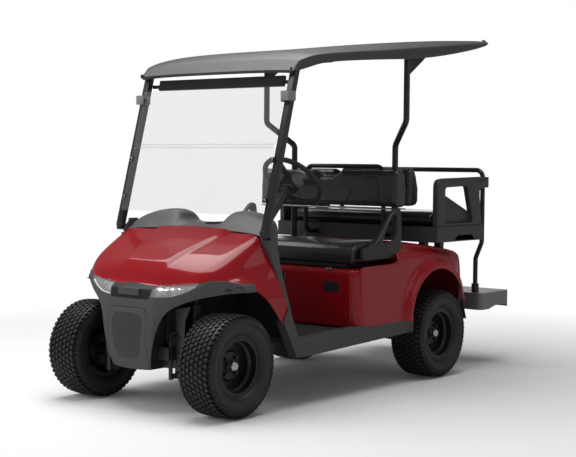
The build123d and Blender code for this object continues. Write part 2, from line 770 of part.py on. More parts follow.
def rear_armrest():
    """Arm loop on the tray's left side, clamped to the step's post behind."""
    x0, x1 = rear_armrest_x, rear_armrest_x + rear_armrest_width
    outline = [(-47, tray_high_z), (-47, 1085), (-19, 1114), (31, 1120), (451, 1128), (507, 1128), (507, 1064)]
    outline += [(427, 1064), (391, 1040), (361, tray_high_z)]
    opening = [(37, 868), (37, 1068), (273, 1074), (309, 900), (303, 868)]
    arm = side_prism(aft(outline), x0, x1) - side_prism(aft(opening), x0 - 5, x1 + 5)
    panel = side_prism(aft([(31, 860), (31, 1034), (315, 925), (315, 860)]), x0 + 4, x0 + 9)
    clamp = block(post_high_x - 20, x1, post_high_y - 40, post_high_y + 22, 1068, 1124)
    hole = rod((post_high_x, post_high_y, 1000), (post_high_x, post_high_y, 1200), post_radius + gap)
    return (arm + panel + clamp) - hole


def grab_frame():
    """Posts on the rear step, joined by a bar across the top, with sockets."""
    half = [(post_low_x, post_low_y, step_z), (post_low_x, post_low_y, 640), (post_high_x, post_high_y, 740)]
    half += [(post_high_x, post_high_y, bar_z)]
    points = half + [(-x, y, z) for x, y, z in half[::-1]]
    socket = rod((post_low_x, post_low_y, step_z), (post_low_x, post_low_y, step_z + 52), 22)
    return bent_tube(points, post_radius, post_bend) + both(socket)


def rear_step():
    """Step plate with side skirts, cut away over their middle, and four bolt holes."""
    outer = block(-step_half, step_half, step_front_y, step_rear_y, step_z - step_depth, step_z)
    inner_half = step_half - step_wall
    inner = block(-inner_half, inner_half, step_front_y + step_wall, step_rear_y - step_wall, 300, step_z - step_wall)
    step = fillet(outer.edges().filter_by(Axis.Z), 30) - fillet(inner.edges().filter_by(Axis.Z), 30 - step_wall)
    step = step - side_prism(aft([(571, 300), (593, 340), (661, 354), (771, 354), (801, 340), (811, 300)]), -700, 700)
    step = step - both(block(rail_x - 21, rail_x + 21, step_front_y - 1, step_front_y + step_wall + 3, 300, step_z - step_wall))
    for x in (-step_bolt_x, step_bolt_x):
        for y in (step_front_y + step_bolt_inset, step_rear_y - step_bolt_inset):
            step = step - rod((x, y, step_z - 20), (x, y, step_z + 20), step_bolt_radius)
    return step


def mudflap():
    """Flap that hangs from the left rear fender behind the wheel."""
    flap = side_prism(aft([(217, 430), (223, 430), (271, 312), (263, 310)]), 410, side_x + 14)
    return flap - rear_solid - rear_body()


def rear_axle():
    """Axle tubes with spindles, differential and motor."""
    tube_end = rear_x - hub_depth - 6
    y = wheelbase
    reach = rear_x + spindle_end
    profile = [(-reach, 0), (-reach, spindle_radius), (-tube_end, spindle_radius), (-tube_end, 32), (-20, 32)]
    profile += [(14, 76), (34, 88), (86, 88), (106, 76), (140, 32), (tube_end, 32), (tube_end, spindle_radius)]
    profile += [(reach, spindle_radius), (reach, 0)]
    face = make_face(Polyline(*[(x, 0, r) for x, r in profile], close=True))
    axle = Pos(0, y, axle_z) * revolve(face, axis=Axis.X)
    return axle + side_disc(y - 118, axle_z + 8, 78, -150, 110) + block(24, 96, y - 130, y, axle_z - 56, axle_z + 56)


def rear_spring():
    """Left leaf spring under the axle tube, with its hangers and shock absorber."""
    x, y = 330, wheelbase
    rail_side = rail_x + rail_width / 2
    arc = [(y - 330, 300), (y - 200, 232), (y - 60, 204), (y + 60, 204), (y + 200, 232), (y + 330, 300)]
    under = [(a, b - 12) for a, b in reversed(arc)]
    spring = side_prism(arc + under, x - 25, x + 25)
    saddle = block(x - 28, x + 28, y - 34, y + 34, 204, axle_z - 20) - side_disc(y, axle_z, 32, 200, 500)
    spring = spring + saddle + block(rail_side, x + 28, y - 352, y - 320, 284, 316)
    spring = spring + block(rail_side, rail_side + 30, y - 352, y - 320, 284, 330)
    spring = spring + block(x - 28, x + 28, y + 316, y + 345, 284, 396) + block(rail_side, x + 28, y + 316, y + 345, 366, 396)
    shock = rod((x - 60, y + 62, 216), (x - 60, y + 106, 392), 18) + block(x - 78, x, y + 30, y + 84, 204, 224)
    return spring + shock + block(rail_side, x - 40, y + 88, y + 126, 384, 404)


def battery_block():
    """Battery pack under the front seat."""
    return block(-290, 290, cushion_front_y + 10, cushion_front_y + 210, floor_z + floor_plate_depth, 610)


cowl = front_cowl()
trim = rocker_panel(cowl)
body = rear_body() - pair(trim)
knuckle_shape = knuckle()
nodes = {
    "front_cowl": cowl,
    "front_panel": front_panel(),
    "headlamps": headlamps(),
    "badge_plate": badge_plate(),
    "rocker_panels": pair(trim),
    "dash_panel": dash_panel(trim, cowl),
    "roof_canopy": roof,
    "front_struts": pair(front_struts()),
    "windshield": windshield(),
    "header_panel": header_panel(),
    "rear_struts": pair(rear_struts(body)),
    "rear_body": body,
    "knuckle_left": knuckle_shape,
    "knuckle_right": mirrored(knuckle_shape),
    "suspension_arms": pair(suspension_arms()),
    "front_shocks": pair(front_shock()),
    "frame_rails": frame_rails(),
    "tie_rods": rod((-tie_end_x, tie_y, tie_z), (tie_end_x, tie_y, tie_z), tie_radius),
    "floor_plate": floor_plate(),
    "floor_mat": floor_mat(),
    "pedals": pedals(),
    "wheel_liners": pair(wheel_liner()),
    "steering_column": steering_column(),
    "steering_wheel": steering_wheel(),
    "seat_pan": seat_pan(),
    "front_seat_cushion": front_seat_cushion(),
    "front_seat_back": front_seat_back(),
    "rear_seat_cushion": rear_seat_cushion(),
    "rear_seat_back": rear_seat_back(),
    "seat_back_frame": seat_back_frame(),
    "rear_tray": rear_tray(),
    "front_armrests": pair(front_armrest()),
    "rear_armrests": pair(rear_armrest()),
    "grab_frame": grab_frame(),
    "rear_step": rear_step(),
    "mudflaps": pair(mudflap()),
    "rear_axle": rear_axle(),
    "rear_springs": pair(rear_spring()),
    "battery_block": battery_block(),
}
for place, y, half in (("front", 0, front_x), ("rear", wheelbase, rear_x)):
    for hand, side in (("left", 1), ("right", -1)):
        rim, tyre = wheel(side)
        nodes[f"rim_{place}_{hand}"] = Pos(side * half, y, 0) * rim
        nodes[f"tyre_{place}_{hand}"] = Pos(side * half, y, 0) * tyre

for name, shape in nodes.items():
    export_step(Pos(0, -middle_y, 0) * shape, f"parts/{name}.step")
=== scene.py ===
import math
import bmesh
import bpy
from mathutils import Matrix, Vector


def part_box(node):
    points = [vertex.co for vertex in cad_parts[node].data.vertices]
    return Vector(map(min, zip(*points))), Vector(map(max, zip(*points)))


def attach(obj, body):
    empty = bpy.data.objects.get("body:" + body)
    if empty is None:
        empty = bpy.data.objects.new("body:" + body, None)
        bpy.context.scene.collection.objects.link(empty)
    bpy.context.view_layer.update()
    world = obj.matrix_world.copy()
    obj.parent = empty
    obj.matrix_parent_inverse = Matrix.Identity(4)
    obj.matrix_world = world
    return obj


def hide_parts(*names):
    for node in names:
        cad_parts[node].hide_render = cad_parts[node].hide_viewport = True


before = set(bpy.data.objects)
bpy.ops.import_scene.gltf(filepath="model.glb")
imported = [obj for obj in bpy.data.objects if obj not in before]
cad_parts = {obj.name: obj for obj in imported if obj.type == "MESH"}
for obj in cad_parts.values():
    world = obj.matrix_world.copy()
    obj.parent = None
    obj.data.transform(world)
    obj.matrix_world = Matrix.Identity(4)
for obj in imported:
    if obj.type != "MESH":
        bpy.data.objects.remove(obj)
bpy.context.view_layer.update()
print("frame loaded")

axleShift = 1.1225   # the front axle lies this far in front of the origin
wheelbase = 1.669
wheelZ = 0.247   # height of the wheels' centres
scene = bpy.context.scene
looks = {}


# Camera, floor and lights

view = {
    "place": (4.554, -5.7105, 1.212), "azimuth": 39.175, "pitch": 2.941, "roll": 0.501,
    "lens": 82.03, "sensor": 36, "far": 100,
}

turn, dip, roll = (math.radians(view[angle]) for angle in ("azimuth", "pitch", "roll"))
backward = Vector((math.sin(turn) * math.cos(dip), -math.cos(turn) * math.cos(dip), math.sin(dip)))
sideways = Vector((math.cos(turn), math.sin(turn), 0))
upward = backward.cross(sideways)
right = sideways * math.cos(roll) + upward * math.sin(roll)
top = upward * math.cos(roll) - sideways * math.sin(roll)
bpy.ops.object.camera_add()
camera = bpy.context.active_object
camera.data.lens = view["lens"]
camera.data.sensor_width = view["sensor"]
camera.data.clip_end = view["far"]
axes = Matrix((right, top, backward)).transposed()
camera.matrix_world = Matrix.Translation(view["place"]) @ axes.to_4x4()
scene.camera = camera
scene.view_settings.view_transform = "Standard"

lamps = (
    # name, place, aim, size, size y, power
    ("overhead", (-0.5, -0.4, 4.3), (-0.3, 0.0, 0.6), 4.7, 4.2, 250),
    ("left", (4.8, 1.4, 2.2), (0.3, 0.2, 0.7), 3.0, 2.0, 11),
    ("front", (-2.2, -4.8, 2.4), (0.0, -0.8, 0.6), 4.4, 3.4, 122),
    ("behind", (-3.6, 4.8, 1.4), (0.0, 0.4, 0.7), 4.0, 2.2, 44),
)
for name, place, aim, width, height, power in lamps:
    bpy.ops.object.light_add(type="AREA", location=place)
    lamp = bpy.context.active_object
    lamp.name = name + "Lamp"
    lamp.data.shape = "RECTANGLE"
    lamp.data.size = width
    lamp.data.size_y = height
    lamp.data.energy = power
    lamp.rotation_euler = (Vector(place) - Vector(aim)).to_track_quat("Z", "Y").to_euler()
    lamp.visible_glossy = name != "front"   # its mirror image would lie across the hood


# Nodes

class Socket:   # a node's output, on which arithmetic adds Math nodes
    def __init__(self, tree, out):
        self.tree = tree
        self.out = out

    def math(self, operation, *others, swap=False):
        values = [self, *others]
        if swap:
            values.reverse()
        node = self.tree.nodes.new("ShaderNodeMath")
        node.operation = operation
        for index, value in enumerate(values):
            if isinstance(value, Socket):
                self.tree.links.new(value.out, node.inputs[index])
            else:
                node.inputs[index].default_value = value
        return Socket(self.tree, node.outputs[0])

    def __rsub__(self, other):
        return self.math("SUBTRACT", other, swap=True)

    def clamped(self):
        return self.math("MAXIMUM", 0.0).math("MINIMUM", 1.0)


arithmetic = {
    "add": "ADD", "radd": "ADD", "sub": "SUBTRACT", "mul": "MULTIPLY", "rmul": "MULTIPLY", "pow": "POWER",
    "truediv": "DIVIDE", "gt": "GREATER_THAN", "lt": "LESS_THAN", "abs": "ABSOLUTE",
}
for method, operation in arithmetic.items():
    setattr(Socket, f"__{method}__", lambda self, *others, kind=operation: self.math(kind, *others))


class Finish:   # the nodes of a new material, or of the world
    def __init__(self, name, owner=None, output="OutputMaterial"):
        self.name = name
        self.owner = owner or bpy.data.materials.new(name)
        self.owner.use_nodes = True
        self.tree = self.owner.node_tree
        self.tree.nodes.clear()
        self.output = self.tree.nodes.new("ShaderNode" + output)

    def add(self, kind, settings=None, outlet=0, **values):
        node = self.tree.nodes.new("ShaderNode" + kind)
        for key, value in (settings or {}).items():
            setattr(node, key, value)
        for key, value in values.items():
            socket = self.find(node, key)
            if isinstance(value, Socket):
                self.tree.links.new(value.out, socket)
            else:
                if socket.type == "RGBA":   # a number alone is a grey
                    value = (*value, 1) if isinstance(value, tuple) else (value, value, value, 1)
                socket.default_value = value
        return Socket(self.tree, node.outputs[outlet])

    def find(self, node, key):
        if key.startswith("slot"):
            return node.inputs[int(key[4:])]
        for socket in node.inputs:
            if socket.name.replace(" ", "").lower() == key.lower() and socket.enabled:
                return socket
        raise KeyError(key)

    def place(self, scale=(1, 1, 1)):
        return self.add("Mapping", vector=self.add("TexCoord", outlet="Object"), scale=scale)

    def axes(self):
        split = self.tree.nodes.new("ShaderNodeSeparateXYZ")
        self.tree.links.new(self.add("TexCoord", outlet="Object").out, split.inputs[0])
        return [Socket(self.tree, out) for out in split.outputs]

    def noise(self, scale, detail=3.0, rough=0.5, stretch=(1, 1, 1)):
        return self.add("TexNoise", vector=self.place(stretch), scale=scale, detail=detail, roughness=rough)

    def grain(self, scale, outlet="Distance"):
        return self.add("TexVoronoi", {"feature": "F1"}, outlet, vector=self.place(), scale=scale)

    def blend(self, share, first, second):
        return self.add("Mix", {"data_type": "RGBA"}, 2, slot0=share, slot6=first, slot7=second)

    def between(self, share, low, high):
        return share * (high - low) + low

    def bump(self, height, strength, distance, radius=None):   # with a radius, corners look rounded
        rest = {"normal": self.add("Bevel", {"samples": 4}, radius=radius)} if radius else {}
        return self.add("Bump", height=height, strength=strength, distance=distance, **rest)

    def show(self, shader):
        self.tree.links.new(shader.out, self.output.inputs[0])
        looks[self.name] = self.owner

    def close(self, tint, rough, bump, **values):
        self.show(self.add("BsdfPrincipled", basecolor=tint, roughness=rough, normal=bump, **values))


# World and floor: white to the camera, plain soft light for everything else

studio = {
    "ambient": 0.17, "floorSize": 60, "white": 1, "grey": 0.79,
    "mirroredGrey": 0.42, "glow": 0.02, "mirroredDim": 0.65, "fadeStart": 1.7, "fadeLength": 2.2,
}

scene.world = bpy.data.worlds.new("studio")
sky = Finish("studio", scene.world, "OutputWorld")
seen = sky.add("LightPath", outlet="Is Camera Ray") + sky.add("LightPath", outlet="Is Transmission Ray")
strength = sky.between(seen.math("MINIMUM", 1.0), studio["ambient"], 1.0)
sky.show(sky.add("Background", color=studio["white"], strength=strength))

ground = Finish("studioFloor")
seen = ground.add("LightPath", outlet="Is Camera Ray")
mirrored = ground.add("LightPath", outlet="Is Glossy Ray")
diffuse = ground.add("BsdfDiffuse", color=ground.blend(mirrored, studio["grey"], studio["mirroredGrey"]))
glow = ground.add("Emission", color=studio["white"], strength=seen * studio["glow"])
both = ground.add("AddShader", slot0=diffuse, slot1=glow)
x, y = ground.axes()[:2]
reach = (x * x + y * y).math("SQRT")
fade = ((reach - studio["fadeStart"]) / studio["fadeLength"]).clamped()
white = ground.add("Emission", color=studio["white"], strength=1.0 - mirrored * studio["mirroredDim"])
ground.show(ground.add("MixShader", slot0=fade, slot1=both, slot2=white))

bpy.ops.mesh.primitive_plane_add(size=studio["floorSize"], location=(0, 0, 0))
floor = bpy.context.active_object
floor.name = "studioFloor"
floor.data.materials.append(looks["studioFloor"])
print("camera, lights and floor")


# Materials

def glossPaint(name, base, deep):
    finish = Finish(name)
    flake = finish.noise(900, 1)
    tint = finish.blend(finish.noise(2.2, 2), base, deep)
    peel = finish.bump(finish.noise(260, 1), 0.012, 0.001)
    shine = finish.between(flake, 0.3, 0.4)
    finish.close(tint, shine, peel, speculariorlevel=0.12, coatweight=0.7, coatroughness=0.05)


def mouldedPlastic(name, base, light, rough, grainSize=900, depth=0.25):
    finish = Finish(name)
    cloud = finish.noise(7, 3)
    bump = finish.bump(finish.grain(grainSize), depth, 0.0006, 0.0025)
    finish.close(finish.blend(cloud, base, light), finish.between(cloud, rough - 0.05, rough + 0.08), bump)


def coatedSteel(name, base, light, rough):
    finish = Finish(name)
    cloud = finish.noise(24, 3)
    bump = finish.bump(finish.noise(600, 2), 0.12, 0.0004, 0.0015)
    shine = finish.between(cloud, rough - 0.06, rough + 0.1)
    finish.close(finish.blend(cloud, base, light), shine, bump, coatweight=0.25, coatroughness=0.2)


def vinyl(name, base, light):
    finish = Finish(name)
    crease = finish.noise(9, 3, 0.5)
    bump = finish.bump(finish.grain(420) * 0.35 + crease * 0.8, 0.22, 0.0012)
    shine = finish.between(crease, 0.3, 0.4)
    finish.close(finish.blend(crease, base, light), shine, bump, coatweight=0.5, coatroughness=0.24)


def ribbedRubber(name, base, rib):
    finish = Finish(name)
    ribs = (finish.axes()[0] * 2 * math.pi / rib).math("SINE")
    finish.close(base, finish.between(finish.noise(30), 0.6, 0.75), finish.bump(ribs, 0.8, 0.0015))


def wood(name, base, light):
    finish = Finish(name)
    streak = finish.noise(18, 4, 0.6, (1, 9, 9))
    shine = finish.between(streak, 0.55, 0.7)
    finish.close(finish.blend(streak, base, light), shine, finish.bump(streak, 0.3, 0.001))


def clearPane(name, tint, share, rough):
    finish = Finish(name)
    veil = finish.between(finish.noise(3, 2), share * 0.9, share * 1.1)
    see = finish.add("BsdfTransparent", color=1)
    film = finish.add("BsdfPrincipled", basecolor=tint, roughness=rough, ior=1.45)
    finish.show(finish.add("MixShader", slot0=veil, slot1=see, slot2=film))


def brightMetal(name, base, rough):
    finish = Finish(name)
    shine = finish.between(finish.noise(60, 3), rough, rough + 0.12)
    finish.close(base, shine, finish.bump(finish.noise(700, 2), 0.05, 0.0004), metallic=1.0)


def facetedMirror(name, dark, bright):
    finish = Finish(name)
    # painted reflection: each facet is painted its own darker or brighter tone, as if it caught the light at
    # its own angle
    facetGlint = finish.add("RGBToBW", slot0=finish.grain(52, "Color"))
    bump = finish.bump(finish.grain(52), 0.9, 0.004)
    finish.close(finish.blend(facetGlint, dark, bright), 0.15, bump, metallic=0.9)


def fromWheel(y, z, centreY):
    return ((y - centreY) ** 2.0 + (z - wheelZ) ** 2.0).math("SQRT")


def tyreRubber(name, centreY):   # painted shade: darker down between the tread blocks
    finish = Finish(name)
    cloud = finish.noise(30, 4, 0.6)
    reach = fromWheel(*finish.axes()[1:], centreY)
    # painted shade: below the blocks' tops the rubber is painted near black
    deep = ((0.2425 - reach) / 0.003).clamped() * (reach > 0.226)
    tint = finish.blend(cloud, 0.015, (0.026, 0.025, 0.024))
    tint = finish.blend(deep, tint, 0.003)
    finish.close(tint, finish.between(cloud, 0.42, 0.6), finish.bump(finish.noise(500, 2), 0.2, 0.0006))


def wheelPaint(name, centreY, outside):   # black wheel with a bright cap at its middle
    finish = Finish(name)
    x, y, z = finish.axes()
    cloud = finish.noise(24, 3)
    cap = (fromWheel(y, z, centreY) < 0.0245) * (abs(x) > outside)
    bump = finish.bump(finish.noise(500, 2), 0.08, 0.0004, 0.0015)
    tint = finish.blend(cloud, (0.008, 0.008, 0.009), (0.014, 0.014, 0.015))
    tint = finish.blend(cap, tint, 0.7)
    finish.close(tint, finish.between(cloud, 0.26, 0.36), bump, metallic=cap)


grille = {
    "half": 0.106, "low": 0.258, "high": 0.482, "widen": 0.12, "foot": 0.8, "back": -0.14,
    "across": 0.0216, "up": 0.016, "dot": 0.0044, "soft": 0.0008,
    "frameHalf": 0.128, "frameHigh": 0.508, "frameDrop": 0.03, "groove": 0.11, "grooveDark": 0.7,
}


def perforated(name, base, light, hole):   # rows of small staggered dots pressed into the grille, with painted shade in the dots and along the frame's groove
    finish = Finish(name)
    x, y, z = finish.axes()
    cells = finish.grain(900)
    cloud = finish.noise(7, 3)
    spots = None
    for shift in (0.0, 0.5):
        across = ((x / grille["across"] + shift + 40.0).math("FRACT") - 0.5) * grille["across"]
        up = ((z / grille["up"] + shift).math("FRACT") - 0.5) * grille["up"]
        distance = (across * across + up * up).math("SQRT")
        spot = 1.0 - ((distance - grille["dot"]) / grille["soft"]).clamped()
        spots = spot if spots is None else spots.math("MAXIMUM", spot)
    ahead = y < grille["back"] - axleShift
    middle, tall = (grille["low"] + grille["high"]) / 2, (grille["high"] - grille["low"]) / 2
    taper = (z - grille["low"]) * grille["widen"] + grille["half"] * grille["foot"]
    inside = (abs(x) / taper) ** 4.0 + (abs(z - middle) / tall) ** 4.0 < 1.0
    frameMiddle = (grille["low"] + grille["frameHigh"]) / 2 - grille["frameDrop"]
    frameTall = grille["frameHigh"] - frameMiddle
    ring = (abs(x) / grille["frameHalf"]) ** 8.0 + (abs(z - frameMiddle) / frameTall) ** 8.0
    # painted shade along the groove round the grille's frame
    groove = (abs(ring - 1.0) < grille["groove"]) * ahead
    spots = (spots * inside * ahead).math("MAXIMUM", groove * grille["grooveDark"])
    # the hole colour is painted shade in the dots and the groove
    tint = finish.blend(spots, finish.blend(cloud, base, light), hole)
    bump = finish.bump(cells * 0.2 - spots * 3.0, 0.4, 0.001, 0.0025)
    finish.close(tint, finish.between(cloud, 0.45, 0.58), bump)


materials = {
    # each with its name, its colours and then what else its function takes
    glossPaint: (("redPaint", (0.27, 0.004, 0.009), (0.23, 0.003, 0.007)),),
    mouldedPlastic: (
        ("greyTrim", (0.046, 0.046, 0.047), (0.056, 0.056, 0.057), 0.46),
        ("darkTrim", (0.017, 0.018, 0.018), (0.023, 0.025, 0.025), 0.42),
        ("trayPlastic", (0.027, 0.029, 0.029), (0.034, 0.036, 0.036), 0.44),
        ("clipPlastic", (0.15, 0.145, 0.14), (0.18, 0.175, 0.17), 0.5),
        # painted light: the dash's lighter grey stands in for the overhead lamp's light on its top
        ("dashPlastic", (0.098, 0.098, 0.099), (0.112, 0.112, 0.113), 0.4),
        # painted light: the hub pad's lighter grey stands in for the light on its top
        ("hubPlastic", (0.085, 0.086, 0.086), (0.1, 0.101, 0.101), 0.5),
        ("stepPlastic", (0.14, 0.141, 0.141), (0.16, 0.161, 0.161), 0.44, 500, 0.4),
        ("roofPlastic", (0.028, 0.028, 0.029), (0.035, 0.035, 0.036), 0.4, 1200, 0.15),
        ("blackPlastic", 0.012, 0.018, 0.42),
        ("linerPlastic", 0.008, 0.014, 0.6, 300, 0.5),
        ("glossBlack", 0.006, 0.008, 0.36, 1500, 0.05),
        ("gripRubber", 0.012, 0.02, 0.55, 700, 0.5),
        ("flapRubber", 0.014, 0.02, 0.62, 400, 0.4),
    ),
    coatedSteel: (
        ("powderCoat", (0.010, 0.010, 0.011), (0.016, 0.016, 0.017), 0.36),
        ("chassisPaint", (0.012, 0.012, 0.013), (0.02, 0.02, 0.021), 0.5),
    ),
    vinyl: (("seatVinyl", (0.014, 0.014, 0.015), (0.021, 0.021, 0.022)),),
    ribbedRubber: (("ribbedMat", 0.014, 0.014),),
    tyreRubber: (("frontTyreRubber", -axleShift), ("rearTyreRubber", wheelbase - axleShift)),
    wood: (("seatBoard", (0.012, 0.011, 0.010), (0.02, 0.018, 0.016)),),
    clearPane: (("clearPane", 0.25, 0.12, 0.08), ("lampLens", (0.8, 0.8, 0.82), 0.12, 0.05)),
    brightMetal: (("zincSteel", (0.6, 0.6, 0.58), 0.28), ("capMetal", (0.75, 0.75, 0.76), 0.16)),
    # the reflector's dark and bright colours are painted reflection across its facets
    facetedMirror: (("lampReflector", (0.16, 0.165, 0.18), (0.85, 0.85, 0.88)),),
    # the grille's last colour is painted shade, for its dots and groove
    perforated: (("grilleTrim", (0.05, 0.05, 0.051), (0.06, 0.06, 0.061), (0.003, 0.004, 0.004)),),
    wheelPaint: (
        ("frontWheelPaint", -axleShift, 0.47),
        ("rearWheelPaint", wheelbase - axleShift, 0.505),
    ),
}
for makeMaterial, rows in materials.items():
    for row in rows:
        makeMaterial(*row)

worn = {   # what the CAD's own pieces wear
    "redPaint": "front_cowl rear_body",
    "grilleTrim": "front_panel",
    "glossBlack": "badge_plate",
    "lampLens": "headlamps",
    "greyTrim": "rocker_panels",
    "dashPlastic": "dash_panel",
    "roofPlastic": "roof_canopy",
    "clearPane": "windshield",
    "blackPlastic": "header_panel battery_block",
    "powderCoat": "front_struts rear_struts steering_column seat_back_frame grab_frame",
    "chassisPaint": (
        "knuckle_left knuckle_right suspension_arms front_shocks frame_rails floor_plate "
        "rear_axle rear_springs"
    ),
    "zincSteel": "tie_rods",
    "ribbedMat": "floor_mat",
    "gripRubber": "pedals steering_wheel",
    "linerPlastic": "wheel_liners",
    "seatBoard": "seat_pan",
    "seatVinyl": "front_seat_cushion front_seat_back rear_seat_cushion rear_seat_back",
    "trayPlastic": "rear_tray",
    "darkTrim": "front_armrests rear_armrests",
    "stepPlastic": "rear_step",
    "flapRubber": "mudflaps",
    "frontTyreRubber": "tyre_front_left tyre_front_right",
    "rearTyreRubber": "tyre_rear_left tyre_rear_right",
    "frontWheelPaint": "rim_front_left rim_front_right",
    "rearWheelPaint": "rim_rear_left rim_rear_right",
}
for look, names in worn.items():
    for name in names.split():
        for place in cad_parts[name].material_slots:
            place.material = looks[look]
print("materials")


# Helpers for new pieces

def smooth(value):
    value = max(0.0, min(1.0, value))
    return value * value * (3 - 2 * value)


def clearAll():
    if bpy.context.mode != "OBJECT":
        bpy.ops.object.mode_set(mode="OBJECT")
    bpy.ops.object.select_all(action="DESELECT")


def pick(piece):
    clearAll()
    piece.select_set(True)
    bpy.context.view_layer.objects.active = piece


def edit(piece):
    pick(piece)
    bpy.ops.object.mode_set(mode="EDIT")
    bpy.ops.mesh.select_all(action="SELECT")


def make(kind, **settings):
    clearAll()
    getattr(bpy.ops.mesh, f"primitive_{kind}_add")(**settings)
    return bpy.context.active_object


def modify(piece, kind, **settings):
    modifier = piece.modifiers.new(kind.lower(), kind)
    for key, value in settings.items():
        setattr(modifier, key, value)
    pick(piece)
    bpy.ops.object.modifier_apply(modifier=modifier.name)
    return piece


def bevel(piece, width, segments=2, angle=30):
    limit = math.radians(angle)
    return modify(piece, "BEVEL", width=width, segments=segments, limit_method="ANGLE", angle_limit=limit)


def thicken(piece, depth, offset=-1):
    return modify(piece, "SOLIDIFY", thickness=depth, offset=offset)


def settle(piece):
    pick(piece)
    bpy.ops.object.transform_apply(location=True, rotation=True, scale=True)
    return piece


def tidyNormals(piece):
    edit(piece)
    bpy.ops.mesh.remove_doubles(threshold=0.00005)
    bpy.ops.mesh.normals_make_consistent(inside=False)
    bpy.ops.object.mode_set(mode="OBJECT")
    return piece


def dress(piece, look, slotName, *replaced, body="chassis", angle=35):
    settle(piece)
    bpy.ops.object.shade_smooth_by_angle(angle=math.radians(angle))
    piece.data.materials.clear()
    piece.data.materials.append(looks[look])
    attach(piece, body)
    if replaced:
        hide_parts(*replaced)


def duplicate(piece, name):
    copy = bpy.data.objects.new(name, piece.data.copy())
    scene.collection.objects.link(copy)
    return copy


def join(name, *pieces):
    pick(pieces[0])
    for other in pieces[1:]:
        other.select_set(True)
    bpy.ops.object.join()
    joined = bpy.context.active_object
    joined.name = name
    return joined


def pair(name, piece):   # the piece together with its mirror image
    copy = duplicate(piece, name + "Right")
    copy.scale.x = -1
    return join(name, piece, tidyNormals(settle(copy)))


def through(points, steps=8):   # smooth line through points, by centripetal Catmull-Rom
    line = [Vector(p) for p in points]
    line = [line[0] * 2 - line[1], *line, line[-1] * 2 - line[-2]]
    out = []
    for four in zip(line, line[1:], line[2:], line[3:]):
        knots = [0.0]
        for p, q in zip(four, four[1:]):
            knots.append(knots[-1] + max((q - p).length, 1e-6) ** 0.5)
        for step in range(steps):
            t = knots[1] + (knots[2] - knots[1]) * step / steps
            level = four
            for span in (1, 2):
                level = [
                    p + (q - p) * ((t - knots[i]) / (knots[i + span] - knots[i]))
                    for i, (p, q) in enumerate(zip(level, level[1:]))
                ]
            out.append(level[0] + (level[1] - level[0]) * ((t - knots[1]) / (knots[2] - knots[1])))
    out.append(line[-2])
    return out


def onAxis(axis, level, a=0, b=0):   # a point from its place along the axis and its two others
    return {"X": (level, a, b), "Y": (a, level, b), "Z": (a, b, level)}[axis]


def flatLoop(outline, axis, level, fill):
    piece = make("circle", vertices=len(outline), fill_type=fill)
    for vertex, (a, b) in zip(piece.data.vertices, outline):
        vertex.co = onAxis(axis, level, a, b)
    return piece


def prism(name, outline, axis, low, high, hole=None):   # an outline in the other two axes, pushed out
    piece = flatLoop(outline, axis, low, "NOTHING" if hole else "NGON")
    if hole:
        piece = join(name, piece, flatLoop(hole, axis, low, "NOTHING"))
    piece.name = name
    edit(piece)
    if hole:
        bpy.ops.mesh.bridge_edge_loops()
        bpy.ops.mesh.select_all(action="SELECT")
    bpy.ops.mesh.extrude_region_move(TRANSFORM_OT_translate={"value": onAxis(axis, high - low)})
    bpy.ops.mesh.select_all(action="SELECT")
    bpy.ops.mesh.normals_make_consistent(inside=False)
    bpy.ops.object.mode_set(mode="OBJECT")
    return piece


def beside(outline):   # how far a flat point lies from a closed outline, negative inside it
    corners = [Vector(p) for p in outline]
    sides = [(p, q - p, (q - p).length_squared) for p, q in zip(corners, corners[1:] + corners[:1])]

    def distance(a, b):
        here = Vector((a, b))
        nearest, inside = 1e9, False
        for start, run, square in sides:
            share = max(0.0, min(1.0, (here - start).dot(run) / square))
            nearest = min(nearest, (here - start - run * share).length_squared)
            if (start.y > b) != (start.y + run.y > b) and a < start.x + run.x * (b - start.y) / run.y:
                inside = not inside
        return -math.sqrt(nearest) if inside else math.sqrt(nearest)
    return distance


def trim(piece, height):   # keeps the part of a sheet where height is above zero
    mesh = bmesh.new()
    mesh.from_mesh(piece.data)
    level = {vertex: height(*vertex.co) for vertex in mesh.verts}
    fresh = []
    for edge in list(mesh.edges):
        a, b = edge.verts
        if level[a] * level[b] < 0:
            vertex = bmesh.utils.edge_split(edge, a, level[a] / (level[a] - level[b]))[1]
            level[vertex] = 0.0
            fresh.append(vertex)
    bmesh.ops.connect_verts(mesh, verts=fresh)
    spare = [face for face in mesh.faces if sum(level[v] for v in face.verts) < 0]
    bmesh.ops.delete(mesh, geom=spare, context="FACES")
    bmesh.ops.dissolve_degenerate(mesh, dist=0.00002, edges=mesh.edges)
    mesh.to_mesh(piece.data)
    mesh.free()
    return piece


def thickened(line, half):   # outline of a bent bar from its middle line
    sides = ([], [])
    for index, here in enumerate(line):
        before, after = line[max(index - 1, 0)], line[min(index + 1, len(line) - 1)]
        run = ((here - before).normalized() + (after - here).normalized()).normalized()
        onward = after - here if index + 1 < len(line) else here - before
        stretch = half / max(0.5, run.dot(onward.normalized()))
        sides[0].append((here.y - run.z * stretch, here.z + run.y * stretch))
        sides[1].append((here.y + run.z * stretch, here.z - run.y * stretch))
    return sides[0] + sides[1][::-1]


def roundedOutline(x0, x1, z0, z1, radius, steps=5):
    x0, x1, z0, z1 = x0 + radius, x1 - radius, z0 + radius, z1 - radius
    line = []
    for quarter, (x, z) in enumerate(((x1, z1), (x0, z1), (x0, z0), (x1, z0))):
        for step in range(steps + 1):
            angle = math.radians(90 * quarter + 90 * step / steps)
            line.append((x + radius * math.cos(angle), z + radius * math.sin(angle)))
    return line


def tablet(name, sides, radius, axis, low, high, width, segments=2):   # a bevelled prism with round corners
    return bevel(prism(name, roundedOutline(*sides, radius), axis, low, high), width, segments)


